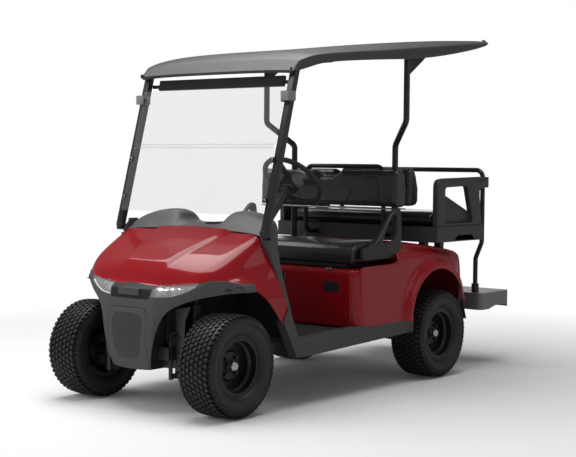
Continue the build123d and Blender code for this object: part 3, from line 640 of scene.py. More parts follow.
def skin(name, columns, levels=3, creases=(), passes=5):   # smooth sheet through the columns' points
    across, along = len(columns) - 1, len(columns[0]) - 1
    piece = make("grid", x_subdivisions=across, y_subdivisions=along, size=2)
    piece.name = name
    corners = piece.data.vertices
    spots = [(round((v.co.x + 1) / 2 * across), round((v.co.y + 1) / 2 * along)) for v in corners]
    goals = [Vector(columns[i][j]) for i, j in spots]
    for vertex, goal in zip(corners, goals):
        vertex.co = goal
    crease = piece.data.attributes.new("crease_edge", "FLOAT", "EDGE")
    for edge in piece.data.edges:
        (i0, j0), (i1, j1) = (spots[corner] for corner in edge.vertices)
        away = max(abs(goals[corner].x) for corner in edge.vertices)
        for kind, index, sharp, reach in creases:
            lies = j0 == j1 == index if kind == "row" else i0 == i1 == index
            if lies and away <= reach:
                crease.data[edge.index].value = sharp
    rounding = piece.modifiers.new("rounding", "SUBSURF")
    rounding.levels = rounding.render_levels = levels
    for _ in range(passes):   # moves the cage until the rounded sheet passes through the points
        made = piece.evaluated_get(bpy.context.evaluated_depsgraph_get()).data
        shifts = [goal - made.vertices[index].co for index, goal in enumerate(goals)]
        for vertex, shift in zip(corners, shifts):
            vertex.co += shift * 0.8
        piece.data.update()
        bpy.context.view_layer.update()
    pick(piece)
    bpy.ops.object.modifier_apply(modifier="rounding")
    return piece


def shifted(points):   # from the front axle, in millimetres, to the frame, in metres
    return [(x / 1000, y / 1000 - axleShift, z / 1000) for x, y, z in points]


def mirroredColumns(columns):   # from the left side through the middle to the right
    return columns[::-1] + [[(-x, y, z) for x, y, z in points] for points in columns[1:]]


def metres(outline, shift=0.0, steps=0):
    line = [(a / 1000, b / 1000) for a, b in outline]
    if steps:
        line = [(p.x, p.y) for p in through([(a, b, 0) for a, b in line], steps)]
    return [(a - shift, b) for a, b in line]


# Nose: one smooth skin, cut into hood and front panel

nose = {
    "thickness": 0.005,
    "columns": (
        # dash seam, hood middle, hood front, lip, lamp, brow, grille and foot
        ((0, 245, 870), (0, 70, 796), (0, -96, 708), (0, -152, 628), (0, -196, 600),
            (0, -208, 552), (0, -225, 348), (0, -184, 205)),
        ((140, 244, 866), (140, 70, 794), (140, -98, 708), (138, -146, 627), (138, -182, 598),
            (137, -198, 552), (140, -218, 370), (136, -180, 212)),
        ((215, 242, 863), (215, 69, 790), (212, -92, 702), (205, -134, 624), (202, -164, 596),
            (198, -182, 552), (188, -196, 400), (178, -166, 220)),
        ((350, 234, 855), (346, 62, 776), (335, -74, 690), (330, -108, 634), (330, -126, 606),
            (322, -126, 566), (300, -132, 420), (290, -122, 220)),
        ((452, 214, 843), (436, 40, 748), (418, -38, 690), (404, -68, 647), (400, -74, 624),
            (396, -78, 590), (386, -84, 430), (380, -84, 230)),
        ((494, 243, 745), (486, 74, 682), (476, 2, 656), (470, -20, 644), (468, -24, 626),
            (466, -26, 595), (458, -30, 430), (452, -30, 240)),
        ((532, 270, 652), (530, 108, 624), (530, 58, 626), (526, 26, 626), (524, 22, 616),
            (522, 20, 598), (518, 16, 440), (514, 14, 250)),
        ((552, 299, 565), (552, 112, 565), (551, 70, 565), (548, 44, 563), (546, 38, 560),
            (544, 34, 550), (540, 30, 430), (536, 28, 245)),
        ((553, 326, 499), (553, 120, 499), (552, 74, 499), (550, 48, 497), (548, 42, 495),
            (546, 38, 490), (542, 32, 400), (538, 30, 240)),
        ((552, 290, 432), (552, 124, 432), (552, 78, 432), (550, 50, 430), (548, 44, 430),
            (546, 40, 425), (542, 34, 380), (538, 32, 230)),
    ),
    "creases": (("row", 3, 0.3, 1), ("row", 2, 0.15, 1), ("column", 4, 0.5, 1), ("column", 10, 0.5, 1)),
    "raised": {
        "half": 0.156, "widen": 0.28, "widenFrom": -0.1, "edge": 0.018, "front": -0.108, "ramp": 0.02,
        "rise": 0.011, "above": 0.6,
    },
    "corner": (0.53, 0.57, 0.13),   # beyond this x, below this z and ahead of this y there is no nose
    "seam": (
        (0, 622), (138, 614), (372, 637), (404, 647), (478, 645), (520, 634), (545, 618), (560, 604),
        (620, 598),
    ),
    "seamBack": 0.106, "wide": 0.62,
    "panelEdge": (
        (131, 228), (164, 336), (183, 410), (216, 484), (261, 520), (339, 554), (420, 576), (500, 590),
        (620, 598),
    ),
    "return": ((127, 212), (148, 284), (164, 336), (183, 410), (204, 464)),
    "returnIn": 3, "returnHalf": 0.002, "returnBack": -0.098, "returnMiddle": -0.12, "returnAhead": -0.15,
    "returnFront": ((0.212, -0.182), (0.284, -0.195), (0.336, -0.196), (0.410, -0.193), (0.464, -0.183)),
    "splash": (
        (118, 212), (262, 222), (264, 330), (272, 452), (306, 520), (206, 500), (175, 410), (140, 284),
    ),
    "splashDeep": 0.004,
    "arch": ((106, 598), (157, 562), (195, 528), (233, 489), (271, 445), (290, 432)),
    "archBack": 0.4,
    "lamp": (
        (134, 560), (144, 617), (260, 630), (340, 639), (368, 645), (348, 612), (300, 585), (236, 566),
    ),
    "badge": ((-130, 549), (-145, 640), (145, 640), (130, 549)),
}


def under(line, start, end, foot=0.1):   # as beside, for all that lies below a line
    return beside(line + [(end, foot), (start, foot)])


noseColumns = [shifted(points) for points in nose["columns"]]
noseSkin = skin("noseSkin", mirroredColumns(noseColumns), 3, nose["creases"])
raised = nose["raised"]
for vertex in noseSkin.data.vertices:   # raised middle panel of the hood
    x, y, z = vertex.co
    y += axleShift
    half = raised["half"] + max(0.0, y - raised["widenFrom"]) * raised["widen"]
    rise = smooth((half - abs(x)) / raised["edge"]) * smooth((y - raised["front"]) / raised["ramp"])
    if z > raised["above"]:
        vertex.co.z += raised["rise"] * rise
half, low, back = nose["corner"]
trim(noseSkin, lambda x, y, z: max(half - abs(x), z - low, y + axleShift - back))

seamEnd = nose["seamBack"] - axleShift
seamLine = metres(nose["seam"], 0, 6)
underSeam = under([(-a, b) for a, b in seamLine[:0:-1]] + seamLine, -nose["wide"], nose["wide"])
archLine = metres(nose["arch"], axleShift, 6)
inArch = under(archLine, archLine[0][0], nose["archBack"] - axleShift)
hood = duplicate(noseSkin, "hoodShell")
trim(hood, lambda x, y, z: max(underSeam(x, z), y - seamEnd))
trim(hood, lambda x, y, z: inArch(y, z))
dress(thicken(hood, nose["thickness"]), "redPaint", "body_paint", "front_cowl", angle=40)

panel = duplicate(noseSkin, "frontPanelShell")
underEdge = under(metres(nose["panelEdge"], 0, 6), nose["panelEdge"][0][0] / 1000, nose["wide"])
inLamp = beside(metres(nose["lamp"]))
inBadge = beside(metres(nose["badge"]))
trim(panel, lambda x, y, z: min(-underSeam(x, z), seamEnd - y))
trim(panel, lambda x, y, z: underEdge(abs(x), z))
trim(panel, lambda x, y, z: inLamp(abs(x), z))
trim(panel, lambda x, y, z: inBadge(x, z))
dress(thicken(panel, nose["thickness"]), "grilleTrim", "trim_grey", "front_panel", angle=40)

ahead, middle, back = (nose[name] - axleShift for name in ("returnAhead", "returnMiddle", "returnBack"))
returns, splashes = [], []
for side in (1, -1):
    wall = [Vector((0, side * (x - nose["returnIn"]) / 1000, z / 1000)) for x, z in nose["return"]]
    turnIn = prism("noseReturn", thickened(wall, nose["returnHalf"]), "Y", ahead, back)
    for vertex in turnIn.data.vertices:   # its front edge follows the panel
        if vertex.co.y < middle:
            spans = list(zip(nose["returnFront"], nose["returnFront"][1:]))
            low, high = next((span for span in spans if vertex.co.z <= span[1][0]), spans[-1])
            share = (vertex.co.z - low[0]) / (high[0] - low[0])
            vertex.co.y = low[1] + (high[1] - low[1]) * share - axleShift
    returns.append(turnIn)
    splash = metres([(side * a, b) for a, b in nose["splash"]])
    splashes.append(prism("noseSplash", splash, "Y", back, back + nose["splashDeep"]))
dress(tidyNormals(join("noseReturns", *returns)), "blackPlastic", "trim_black")
dress(tidyNormals(join("splashPlates", *splashes)), "greyTrim", "trim_grey")
print("nose")


# Headlamps and the blank badge plate

headlamp = {
    "glass": 0.003, "backWall": 0.002, "backDeep": 0.014,
    "yaw": 18, "ring": 0.16, "ball": 0.8, "ballDeep": 0.012,
    "bowls": ((0.190, -0.140, 0.588, 0.019), (0.262, -0.112, 0.600, 0.018), (0.328, -0.084, 0.614, 0.013)),
}
badge = {
    "surround": 0.003, "sides": (-0.07, 0.07, 0.566, 0.600), "corner": 0.006,
    "front": -0.2095, "back": -0.195, "bevel": 0.0015,
}

glass = trim(duplicate(noseSkin, "lampLenses"), lambda x, y, z: -inLamp(abs(x), z))
surround = trim(duplicate(noseSkin, "badgeSurround"), lambda x, y, z: -inBadge(x, z))
trim(surround, lambda x, y, z: -underSeam(x, z))
dress(thicken(surround, badge["surround"]), "linerPlastic", "trim_black", "badge_plate", angle=40)
back = duplicate(glass, "lampBacks")
dress(thicken(glass, headlamp["glass"]), "lampLens", "lamp_lens", "headlamps", angle=40)
back.location.y = headlamp["backDeep"]
dress(thicken(settle(back), headlamp["backWall"]), "lampReflector", "lamp_lens", angle=40)
bowls = []
for side in (1, -1):
    for x, y, z, radius in headlamp["bowls"]:
        ring = make(
            "torus", major_segments=32, minor_segments=10, major_radius=radius,
            minor_radius=radius * headlamp["ring"], location=(side * x, y - axleShift, z),
            rotation=(math.radians(90), 0, side * math.radians(headlamp["yaw"])),
        )
        settle(ring)
        ball = make(
            "uv_sphere", segments=24, ring_count=12, radius=radius * headlamp["ball"],
            location=(side * x, y + headlamp["ballDeep"] - axleShift, z),
        )
        bowls += [ring, settle(ball)]
dress(join("lampBowls", *bowls), "capMetal", "lamp_lens", angle=60)
bpy.data.objects.remove(noseSkin)

front, back = badge["front"] - axleShift, badge["back"] - axleShift
plate = tablet("badgeBlank", badge["sides"], badge["corner"], "Y", front, back, badge["bevel"])
dress(plate, "greyTrim", "trim_grey")
print("headlamps and badge plate")


# Roof

roofSize = {
    "wall": 0.02, "sideIn": 6, "topIn": 8,
    "steps": ((1, 0.4), (0.86, 0.42), (0.55, 0.86)),   # share of the half width, share of the height
    "creases": (("column", 2, 0.7, 1), ("column", 8, 0.7, 1), ("row", 8, 0.7, 1)),
    "sections": (
        # y, half width, lower edge, side's top, crown
        (384, 524, 1648, 1653, 1661), (436, 530, 1656, 1704, 1726), (520, 544, 1680, 1732, 1762),
        (700, 550, 1714, 1758, 1788), (1169, 550, 1755, 1806, 1840), (1555, 550, 1790, 1848, 1886),
        (1974, 546, 1856, 1894, 1930), (2230, 512, 1908, 1922, 1950),
        (2330, 450, 1932, 1940, 1957), (2351, 420, 1938, 1942, 1957),
    ),
}

(sideWide, sideHigh), (outerWide, outerHigh), (innerWide, innerHigh) = roofSize["steps"]
roofColumns = [[] for _ in range(6)]
for y, half, low, sideTop, crown in roofSize["sections"][::-1]:
    points = (
        (0, crown), (half * innerWide, sideTop + (crown - sideTop) * innerHigh),
        (half * outerWide, sideTop + (crown - sideTop) * outerHigh), (half - roofSize["topIn"], sideTop),
        (half * sideWide, low + (sideTop - low) * sideHigh), (half - roofSize["sideIn"], low),
    )
    for column, (x, z) in zip(roofColumns, points):
        column.append((x, y, z))
roofColumns = mirroredColumns([shifted(column) for column in roofColumns])
roof = skin("roofShell", roofColumns, 3, roofSize["creases"])
dress(thicken(roof, roofSize["wall"]), "roofPlastic", "roof_plastic", "roof_canopy", angle=50)
print("roof")


# Rear body

rearSize = {
    "wall": 0.005, "archY": 1.625, "archZ": 0.352, "archRadius": 0.268,
    "flare": 0.033, "flareReach": 0.325, "flareBand": 0.034, "sideFrom": 0.5, "side": 561,
    "columns": (
        # half width, then (y, z) of front foot, front top, shoulder, deck's two ends, tail top and tail foot
        (0, (892, 350), (892, 643), (1286, 652), (1330, 776), (1842, 728), (2008, 656), (2036, 412)),
        (440, (892, 350), (892, 643), (1286, 652), (1330, 770), (1836, 722), (1990, 650), (2010, 412)),
        (508, (894, 350), (894, 643), (1284, 655), (1318, 748), (1800, 705), (1938, 614), (1966, 412)),
        (538, (906, 350), (906, 643), (1270, 664), (1304, 724), (1774, 694), (1896, 588), (1930, 412)),
        (554, (930, 350), (930, 643), (1236, 668), (1310, 700), (1744, 678), (1860, 560), (1898, 412)),
        (560, (956, 350), (958, 628), (1216, 654), (1326, 682), (1730, 654), (1842, 544), (1884, 412)),
    ),
    "foot": ((1076, 350), (1150, 350), (1240, 350), (1370, 350), (1730, 350), (1820, 380), (1885, 412)),
    "shares": (0.34, 0.67, 1.0),   # rows between the side's edge and its foot
    "creases": (("row", 5, 0.7, 0.5605), ("row", 4, 0.5, 0.51)),
}


def fromArch(y, z):
    return math.hypot(y + axleShift - rearSize["archY"], max(0.0, z - rearSize["archZ"]))


rearColumns = [shifted([(half, y, z) for y, z in points[::-1]]) for half, *points in rearSize["columns"]]
edge = rearSize["columns"][-1][1:]
for share in rearSize["shares"]:
    column = [
        (rearSize["side"], a + (c - a) * share, b + (d - b) * share)
        for (a, b), (c, d) in zip(edge, rearSize["foot"])
    ]
    rearColumns.append(shifted(column[::-1]))
rear = skin("rearShell", mirroredColumns(rearColumns), 4, rearSize["creases"])
for vertex in rear.data.vertices:   # flares out around the wheel
    x, y, z = vertex.co
    if abs(x) > rearSize["sideFrom"]:
        rise = smooth((rearSize["flareReach"] - fromArch(y, z)) / rearSize["flareBand"])
        vertex.co.x += math.copysign(rearSize["flare"] * rise, x)
trim(rear, lambda x, y, z: fromArch(y, z) - rearSize["archRadius"] if abs(x) > rearSize["sideFrom"] else 1.0)
dress(thicken(rear, rearSize["wall"]), "redPaint", "body_paint", "rear_body", angle=40)
print("rear body")


# Dash: one smooth skin with two pods and a pocket beside the column

dash = {
    "thickness": 0.004,
    "columns": (
        # half width, then (y, z) of the seam, front crest, crest, rear crest, lip and the lip's foot
        (0, (248, 870), (288, 886), (350, 900), (436, 892), (462, 866), (456, 700)),
        (110, (248, 869), (288, 888), (350, 903), (436, 896), (462, 868), (456, 700)),
        (156, (247, 868), (288, 900), (350, 930), (438, 920), (462, 876), (456, 700)),
        (196, (246, 867), (292, 918), (352, 956), (438, 944), (461, 890), (456, 700)),
        (300, (243, 864), (292, 916), (352, 955), (436, 942), (458, 888), (452, 700)),
        (392, (238, 858), (286, 902), (344, 936), (416, 912), (436, 862), (430, 700)),
        (446, (231, 850), (272, 882), (318, 908), (356, 884), (366, 830), (362, 700)),
        (474, (227, 842), (260, 862), (290, 882), (312, 862), (320, 812), (318, 700)),
    ),
    "pocket": (0.024, 0.142, 0.305, 0.436), "pocketCorner": 0.012, "pocketWall": 0.003,
    "pocketFloor": 0.862, "pocketRim": 0.899, "topFrom": 0.85,
}

dashColumns = [shifted([(half, y, z) for y, z in points]) for half, *points in dash["columns"]]
dashSkin = skin("dashShell", mirroredColumns(dashColumns)[::-1], 3, (("row", 4, 0.4, 1),))
x0, x1, y0, y1 = dash["pocket"]
pocketSides = roundedOutline(x0, x1, y0 - axleShift, y1 - axleShift, dash["pocketCorner"])
inPocket = beside(pocketSides)
trim(dashSkin, lambda x, y, z: inPocket(x, y) if z > dash["topFrom"] else 1.0)
tidyNormals(thicken(dashSkin, dash["thickness"]))
dress(dashSkin, "dashPlastic", "dash_plastic", "dash_panel", angle=50)

pocket = prism("dashPocket", pocketSides, "Z", dash["pocketRim"], dash["pocketFloor"])
edit(pocket)
bpy.ops.mesh.select_all(action="DESELECT")
bpy.ops.object.mode_set(mode="OBJECT")
for face in pocket.data.polygons:
    face.select = face.center.z > dash["pocketRim"] - 0.001
bpy.ops.object.mode_set(mode="EDIT")
bpy.ops.mesh.delete(type="FACE")
bpy.ops.object.mode_set(mode="OBJECT")
dress(thicken(pocket, dash["pocketWall"], 1), "blackPlastic", "trim_black")
print("dash")


# Cushions: rounded blocks, remeshed, blown up as cloth and then sewn

padding = {
    "voxel": 0.008, "frames": 20, "pressure": 4.0, "bending": 1.5,
    "panel": (
        (0.150, 0.985), (0.236, 1.112), (0.262, 1.132), (0.350, 1.132), (0.372, 1.110), (0.392, 0.985),
    ),
    "panelFade": 0.03, "dip": 0.030, "dipInner": 0.036, "dipOuter": 0.112, "dipFrom": 1.0, "dipFade": 0.16,
}
cushions = {
    "frontSeatCushion": {
        "node": "front_seat_cushion", "body": "front_seat", "fill": 0.85,
        "profile": (
            (-168, 671), (-177, 684), (-179, 718), (-170, 748), (-148, 767), (-60, 784),
            (60, 786), (128, 774), (150, 750), (152, 680), (142, 671),
        ),
        "half": 0.488, "edge": 0.024, "swell": 0.007,
        "dish": 0.013, "place": (0.235, -0.005), "spread": (0.125, 0.095), "from": 0.72, "fade": 0.04,
        "seam": {"z": 0.7405, "half": 0.003, "deep": 0.0016, "beyond": 0.12},
    },
    "frontSeatBack": {
        "node": "front_seat_back", "body": "chassis", "fill": 0.85,
        "profile": (
            (214, 968), (213, 1060), (220, 1150), (238, 1170), (282, 1170), (304, 1148),
            (319, 1060), (317, 968), (300, 960), (232, 960),
        ),
        "half": 0.492, "edge": 0.026, "swell": 0.006,
        "sewn": (0.24, 1, 0.0026, 0.0036, 0.002),   # y of the face, way in, ridge, its width, sunk panel
    },
    "rearSeatBack": {
        "node": "rear_seat_back", "body": "chassis", "fill": 0.85,
        "profile": (
            (417, 968), (416, 1100), (424, 1160), (444, 1178), (470, 1174), (492, 1130),
            (510, 1060), (509, 990), (494, 962), (430, 960),
        ),
        "half": 0.443, "edge": 0.024, "swell": 0.006,
        "sewn": (0.49, -1, 0.0035, 0.0038, 0),
    },
    "rearSeatCushion": {
        "node": "rear_seat_cushion", "body": "rear_seat", "fill": 0.8,
        "profile": (
            (541, 858), (539, 890), (548, 916), (568, 926), (760, 930), (930, 926),
            (952, 914), (961, 890), (960, 858),
        ),
        "half": 0.507, "edge": 0.020, "swell": 0.006,
        "dish": 0.008, "place": (0.235, 0.75), "spread": (0.14, 0.12), "from": 0.89, "fade": 0.03,
    },
}


def inflate(piece, swell):   # blows the pad up as cloth and keeps every point near its start
    start = [vertex.co.copy() for vertex in piece.data.vertices]
    cloth = piece.modifiers.new("cloth", "CLOTH")
    cloth.settings.use_pressure = True
    cloth.settings.uniform_pressure_force = padding["pressure"]
    cloth.settings.effector_weights.gravity = 0
    cloth.settings.quality = 4
    cloth.settings.bending_stiffness = padding["bending"]
    cloth.point_cache.frame_end = padding["frames"]
    for frameNumber in range(1, padding["frames"] + 1):
        scene.frame_set(frameNumber)
    made = piece.evaluated_get(bpy.context.evaluated_depsgraph_get()).data
    blown = [vertex.co.copy() for vertex in made.vertices]
    piece.modifiers.remove(cloth)
    for vertex, here, there in zip(piece.data.vertices, start, blown):
        shift = there - here
        vertex.co = here + shift * min(1.0, swell / max(shift.length, 1e-9))
    scene.frame_set(1)


def pad(name, size):   # side profile run across the cart, rounded, remeshed and blown up
    piece = prism(name, metres(size["profile"]), "X", -size["half"], size["half"])
    bevel(piece, size["edge"], 4, 60)
    modify(piece, "REMESH", mode="VOXEL", voxel_size=padding["voxel"])
    inflate(piece, size["swell"])
    modify(piece, "SMOOTH", factor=0.5, iterations=5)
    return modify(piece, "SUBSURF", levels=1, render_levels=1)


def dished(x, y, z, size):   # two dished places over a flat foot
    (midX, midY), (wide, deep) = size["place"], size["spread"]
    spread = ((abs(x) - midX) / wide) ** 2 + ((y - midY) / deep) ** 2
    return size["dish"] * math.exp(-spread) * smooth((z - size["from"]) / size["fade"])


def dipped(x, z):   # the low place between the two humps
    reach = padding["dipOuter"] - padding["dipInner"]
    between = smooth((padding["dipOuter"] - abs(x)) / reach)
    return padding["dip"] * between * smooth((z - padding["dipFrom"]) / padding["dipFade"])


besidePanel = beside(padding["panel"])
for name, size in cushions.items():
    cushion = pad(name, size)
    seam = size.get("seam")
    for vertex in cushion.data.vertices:
        x, y, z = vertex.co
        if "dish" in size:
            vertex.co.z -= dished(x, y, z, size)
        else:
            vertex.co.z -= dipped(x, z)
            face, inward, ridge, width, sunk = size["sewn"]
            if (face - y) * inward > 0:
                away = besidePanel(abs(x), z)
                rise = ridge * math.exp(-(away / width) ** 2) - sunk * smooth(-away / padding["panelFade"])
                vertex.co.y += inward * rise
        if seam and abs(y) > seam["beyond"] and abs(z - seam["z"]) < seam["half"]:
            vertex.co.y += math.copysign(seam["deep"] * (1 - abs(z - seam["z"]) / seam["half"]), -y)
    dress(cushion, "seatVinyl", "seat_vinyl", size["node"], body=size["body"], angle=70)

bar = {"sides": (0.214, 0.322, 0.9505, 0.9575), "corner": 0.003, "half": 0.478, "bevel": 0.001}
trimBar = tablet("seatBackTrim", bar["sides"], bar["corner"], "X", -bar["half"], bar["half"], bar["bevel"], 1)
dress(trimBar, "zincSteel", "chassis_steel")
print("cushions")


# Arm loops beside the front seat

armLoop = {
    "inner": 0.503, "outer": 0.530, "ahead": 0.012, "bevel": 0.007,
    "outline": (
        (992, 690), (992, 742), (1000, 754), (1060, 768), (1108, 784), (1138, 806),
        (1164, 838), (1200, 880), (1244, 926), (1278, 956),
        (1300, 966), (1322, 964), (1336, 948), (1343, 900), (1347, 840),
        (1343, 770), (1334, 722), (1320, 692),
    ),
    "opening": (
        (1168, 782), (1180, 812), (1206, 852), (1240, 894), (1268, 922), (1288, 930), (1298, 916),
        (1304, 870), (1303, 830), (1292, 800), (1272, 784), (1236, 774), (1190, 770),
    ),
}

outline, opening = (metres(armLoop[part], axleShift + armLoop["ahead"]) for part in ("outline", "opening"))
arm = prism("armLoops", outline, "X", armLoop["inner"], armLoop["outer"], opening)
bevel(arm, armLoop["bevel"], 3, 50)
dress(pair("frontArmLoops", arm), "darkTrim", "trim_grey", "front_armrests", angle=40)
print("arm loops")


# Front struts, with the windshield's clips and seam

struts = {
    "inner": 0.481, "outer": 0.519, "half": 0.019, "bevel": 0.007,
    "line": ((215, 862), (433, 1665), (474, 1698), (720, 1731)),
    "face": (0.1952, 0.862), "rise": 197 / 726,   # a point on the front face and how much it leans
    "foot": (0.476, 0.514, 0.196 - axleShift, 0.252 - axleShift), "footZ": (0.846, 0.876),
    "footCorner": 0.008, "footBevel": 0.003,
    "clips": ((1.010, 1.034), (1.206, 1.230), (1.500, 1.536)), "clipX": (0.470, 0.494),
    "clipAhead": 0.016, "clipBack": 0.008, "clipCorner": 0.004, "clipBevel": 0.002,
    "seam": (1.272, 1.296), "seamAhead": 0.0165, "seamDeep": 0.0015, "seamHalf": 0.478,
    "seamBevel": 0.0005,
}


def strutFace(z):   # front face of the strut at a height
    y, foot = struts["face"]
    return y + (z - foot) * struts["rise"] - axleShift


line = [Vector(point) for point in shifted([(0, y, z) for y, z in struts["line"]])]
bent = [line[0], *through(line[1:], 4)]
strut = prism("strut", thickened(bent, struts["half"]), "X", struts["inner"], struts["outer"])
bevel(strut, struts["bevel"], 3, 50)
foot = tablet("strutFoot", struts["foot"], struts["footCorner"], "Z", *struts["footZ"], struts["footBevel"])
parts = [strut, foot]
for low, high in struts["clips"]:
    face = strutFace((low + high) / 2)
    sides = (*struts["clipX"], face - struts["clipAhead"], face + struts["clipBack"])
    parts.append(tablet("clip", sides, struts["clipCorner"], "Z", low, high, struts["clipBevel"]))
dress(pair("strutFrames", join("leftStrut", *parts)), "powderCoat", "frame_black", "front_struts", angle=40)

low, high = struts["seam"]
front = strutFace((low + high) / 2) - struts["seamAhead"]
outline = [(front + (z - low) * struts["rise"], z) for z in (low, high)]
outline += [(y + struts["seamDeep"], z) for y, z in outline[::-1]]
seamStrip = prism("paneSeam", outline, "X", -struts["seamHalf"], struts["seamHalf"])
dress(bevel(seamStrip, struts["seamBevel"], 1), "clearPane", "clear_glass")
print("struts")


# Loops beside the rear seat, measured from the rear axle

rearLoop = {
    "wide": 0.036, "bevel": 0.006, "panelIn": 0.008, "panelDeep": 0.006, "panelBevel": 0.0015,
    "outline": (
        (-47, 848), (-47, 1078), (-40, 1102), (-20, 1116), (31, 1122), (440, 1130),
        (500, 1128), (507, 1120), (507, 1072), (500, 1066),
        (432, 1064), (406, 1050), (406, 1020), (432, 848),
    ),
    "opening": (
        (34, 866), (34, 1050), (40, 1066), (58, 1071), (250, 1077), (268, 1072),
        (276, 1058), (330, 890), (330, 866),
    ),
    "panel": ((28, 860), (28, 1034), (40, 1034), (332, 922), (336, 860)),
}

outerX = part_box("rear_armrests")[1][0]
innerX = outerX - rearLoop["wide"]
outline, opening, panel = (
    metres(rearLoop[part], axleShift - wheelbase) for part in ("outline", "opening", "panel")
)
loop = prism("rearLoop", outline, "X", innerX, outerX, opening)
bevel(loop, rearLoop["bevel"], 3, 50)
panelX = innerX + rearLoop["panelIn"]
infill = prism("rearLoopPanel", panel, "X", panelX, panelX + rearLoop["panelDeep"])
bevel(infill, rearLoop["panelBevel"])
loop = join("rearLoopLeft", loop, infill)
dress(pair("rearArmLoops", loop), "trayPlastic", "trim_grey", "rear_armrests", angle=40)
print("rear loops")


# Small fittings

fittings = {
    "front": 0.889,   # y of the rear body's front wall
    "plug": (0.337, 0.441, 0.527, 0.610), "plugCorner": 0.007, "plugOut": 0.004, "plugBevel": 0.0012,
    "latch": (0.355, 0.389, 0.640, 0.656), "latchCorner": 0.006, "latchOut": 0.006, "latchBevel": 0.002,
    "into": 0.004,
    "bolts": ((0.484, 0.2735, 1.216), (0.484, 0.220, 1.019)), "boltLean": 75, "boltBevel": 0.0008,
    "washer": (28, 0.0105, 0.004, 0.0), "head": (6, 0.005775, 0.009, -0.002),   # corners, radius, depth, y
    "clip": (0.5, 0.385, 1.530), "clipHalf": (0.027, 0.024), "clipReach": (0.036, 0.026),
    "clipCorner": 0.008, "clipBevel": 0.003,
    "hub": (0.25, 0.725, 1.121), "hubTilt": 45.8, "hubUp": 0.004, "hubHalf": (0.096, 0.040),
    "hubDeep": (0.03, 0.058), "hubPower": (0.7, 0.75),
}

front = fittings["front"] - axleShift
for name, part, look, slotName in (
    ("blankSquare", "plug", "blackPlastic", "trim_black"),
    ("seatLatch", "latch", "zincSteel", "chassis_steel"),
):
    corner, out, width = (fittings[part + measure] for measure in ("Corner", "Out", "Bevel"))
    block = tablet(name, fittings[part], corner, "Y", front - out, front + fittings["into"], width)
    dress(block, look, slotName)

for name, part, look, slotName in (
    ("strutWashers", "washer", "zincSteel", "chassis_steel"),
    ("strutBolts", "head", "blackPlastic", "trim_black"),
):
    corners, radius, deep, out = fittings[part]
    lean = (math.radians(fittings["boltLean"]), 0, 0)
    rings = []
    for x, y, z in fittings["bolts"]:
        for side in (1, -1):
            ring = make("cylinder", vertices=corners, radius=radius, depth=deep, rotation=lean)
            ring.location = (side * x, y - axleShift + out, z)
            rings.append(bevel(settle(ring), fittings["boltBevel"], 1))
    dress(join(name, *rings), look, slotName)

x, y, z = fittings["clip"]
(wide, tall), (ahead, behind) = fittings["clipHalf"], fittings["clipReach"]
corner, width = fittings["clipCorner"], fittings["clipBevel"]
clips = []
for side in (1, -1):
    sides = (side * x - wide, side * x + wide, y - axleShift - ahead, y - axleShift + behind)
    clips.append(tablet("clip", sides, corner, "Z", z - tall, z + tall, width))
dress(join("strutClips", *clips), "clipPlastic", "trim_grey")

tilt = math.radians(fittings["hubTilt"])
(halfX, halfY), (powerX, powerY) = fittings["hubHalf"], fittings["hubPower"]
deepUp, deepDown = fittings["hubDeep"]
hub = make("uv_sphere", segments=40, ring_count=20, radius=1)
for vertex in hub.data.vertices:   # a rounded oblong shell, fuller towards the dash
    x, y, z = vertex.co
    broad, high = math.copysign(abs(x) ** powerX, x), math.copysign(abs(y) ** powerY, y)
    vertex.co = (halfX * broad, halfY * high, (deepUp if z > 0 else deepDown) * z)
hub.rotation_euler.x = -(math.pi / 2 - tilt)
x, y, z = fittings["hub"]
hub.name = hub.data.name = "wheelHubPad"
along = Vector((0, math.cos(tilt), math.sin(tilt)))
hub.location = Vector((x, y - axleShift, z)) + along * fittings["hubUp"]
dress(hub, "hubPlastic", "wheel_grip", body="steering_wheel", angle=60)

coils = {"turns": 8, "radius": 0.029, "wire": 0.0055, "x": 0.248, "y": 0.0, "low": 0.32, "high": 0.52}
springs = []
for side in (1, -1):
    wire = make(
        "circle", vertices=8, radius=coils["wire"],
        location=(coils["radius"] - coils["wire"], 0, 0), rotation=(math.radians(90), 0, 0),
    )
    rise = (coils["high"] - coils["low"]) / coils["turns"]
    turns = {"iterations": coils["turns"], "steps": 20, "render_steps": 20}
    modify(settle(wire), "SCREW", axis="Z", angle=2 * math.pi, screw_offset=rise, **turns)
    wire.location = (side * coils["x"], coils["y"] - axleShift, coils["low"])
    springs.append(tidyNormals(settle(wire)))
dress(join("frontCoils", *springs), "chassisPaint", "shock_black", angle=60)
print("fittings")


# Tyres: a turned casing with staggered tread blocks

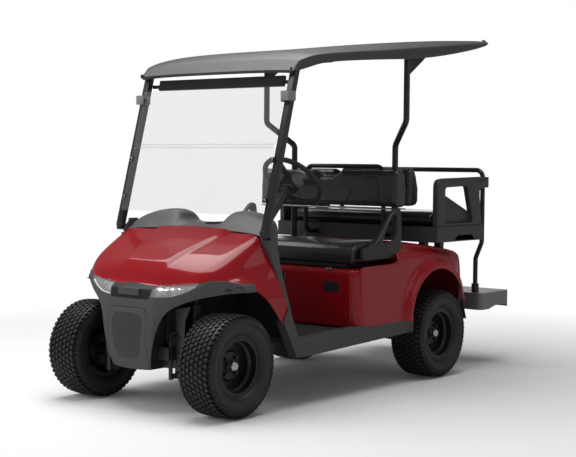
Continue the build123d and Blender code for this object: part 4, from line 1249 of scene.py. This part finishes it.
tyre = {
    "pitches": 54, "steps": 108,
    "outer": (
        (0.0735, 0.129), (0.0775, 0.146), (0.086, 0.151), (0.096, 0.166), (0.1035, 0.192),
        (0.102, 0.214), (0.094, 0.2285), (0.074, 0.2355), (0.03, 0.239),
    ),
    "inner": ((0.0675, 0.133), (0.0675, 0.15), (0.09, 0.19), (0.085, 0.22), (0.03, 0.232)),
    "rows": (
        # x, half pitch shift, height of its top, turn in degrees
        (-0.078, 0, 0.2435, 12), (-0.052, 1, 0.2455, 24), (-0.026, 0, 0.2465, -24), (0.0, 1, 0.247, 24),
        (0.026, 0, 0.2465, -24), (0.052, 1, 0.2455, 24), (0.078, 0, 0.2435, -12),
    ),
    "block": (0.0122, 0.010752, 0.012), "sunk": 0.006, "camber": 90, "bevel": 0.0016,
    "shoulder": (0.096, 0.223, 62), "shoulderSizes": ((0.024, 0.0085, 0.01), (0.03, 0.0085, 0.01)),
    "shoulderDrop": 0.004, "shoulderBevel": 0.0018,
    "beads": ((0.158, 0.0917), (0.205, 0.1037)), "bead": 0.0016,   # radius and x of each ring
    "wheels": (("front", 0, 0.451, 0.05), ("rear", wheelbase, 0.489, 0.02)),   # y, x and turn
}

outer, inner = tyre["outer"], tyre["inner"]
outline = [(-x, r) for x, r in outer] + [*outer[::-1], *inner] + [(-x, r) for x, r in inner[::-1]]
casing = flatLoop(outline, "Y", 0, "NOTHING")
edit(casing)
bpy.ops.mesh.spin(steps=tyre["steps"], angle=2 * math.pi, center=(0, 0, 0), axis=(1, 0, 0))
tidyNormals(casing)

pitch = 2 * math.pi / tyre["pitches"]
wide, deep, tall = tyre["block"]
blocks = []
for x, half, height, angle in tyre["rows"]:
    block = make("cylinder", vertices=6, radius=1, depth=tall)
    block.scale = (wide, deep, 1)
    block.rotation_euler.z = math.radians(angle)
    bevel(settle(block), tyre["bevel"], 1)
    block.location = (x, 0, height - tyre["sunk"])
    block.rotation_euler.y = math.copysign(math.radians(abs(x) * tyre["camber"]), x)
    settle(block)
    block.rotation_euler.x = half * pitch / 2
    blocks.append(settle(block))
for side in (1, -1):
    for half, scale in enumerate(tyre["shoulderSizes"]):
        x, height, lean = tyre["shoulder"]
        lug = make("cube", size=1)
        lug.scale = scale
        bevel(settle(lug), tyre["shoulderBevel"], 1)
        lug.rotation_euler.y = side * math.radians(lean)
        lug.location = (side * x, 0, height - half * tyre["shoulderDrop"])
        settle(lug)
        lug.rotation_euler.x = half * pitch / 2
        blocks.append(settle(lug))
tread = join("tread", *blocks)
bpy.ops.object.empty_add(location=(0, 0, 0), rotation=(pitch, 0, 0))
turner = bpy.context.active_object
around = {"use_relative_offset": False, "use_object_offset": True, "offset_object": turner}
modify(tread, "ARRAY", count=tyre["pitches"], **around)
bpy.data.objects.remove(turner)

for side in (1, -1):   # raised bead rings on the walls
    for radius, x in tyre["beads"]:
        ring = make(
            "torus", major_segments=96, minor_segments=6, major_radius=radius,
            minor_radius=tyre["bead"], location=(side * x, 0, 0), rotation=(0, math.radians(90), 0),
        )
        casing = join("casing", casing, settle(ring))
wheelTyre = join("wheelTyre", casing, tread)
for place, y, x, angle in tyre["wheels"]:
    for hand, side in (("left", 1), ("right", -1)):
        corner = f"{place}_{hand}"
        copy = duplicate(wheelTyre, "treadedTyre_" + corner)
        copy.location = (side * x, y - axleShift, wheelZ)
        copy.rotation_euler.x = angle
        dress(settle(copy), place + "TyreRubber", "tyre_rubber", "tyre_" + corner, body="wheel_" + corner)
bpy.data.objects.remove(wheelTyre)
print("tyres")
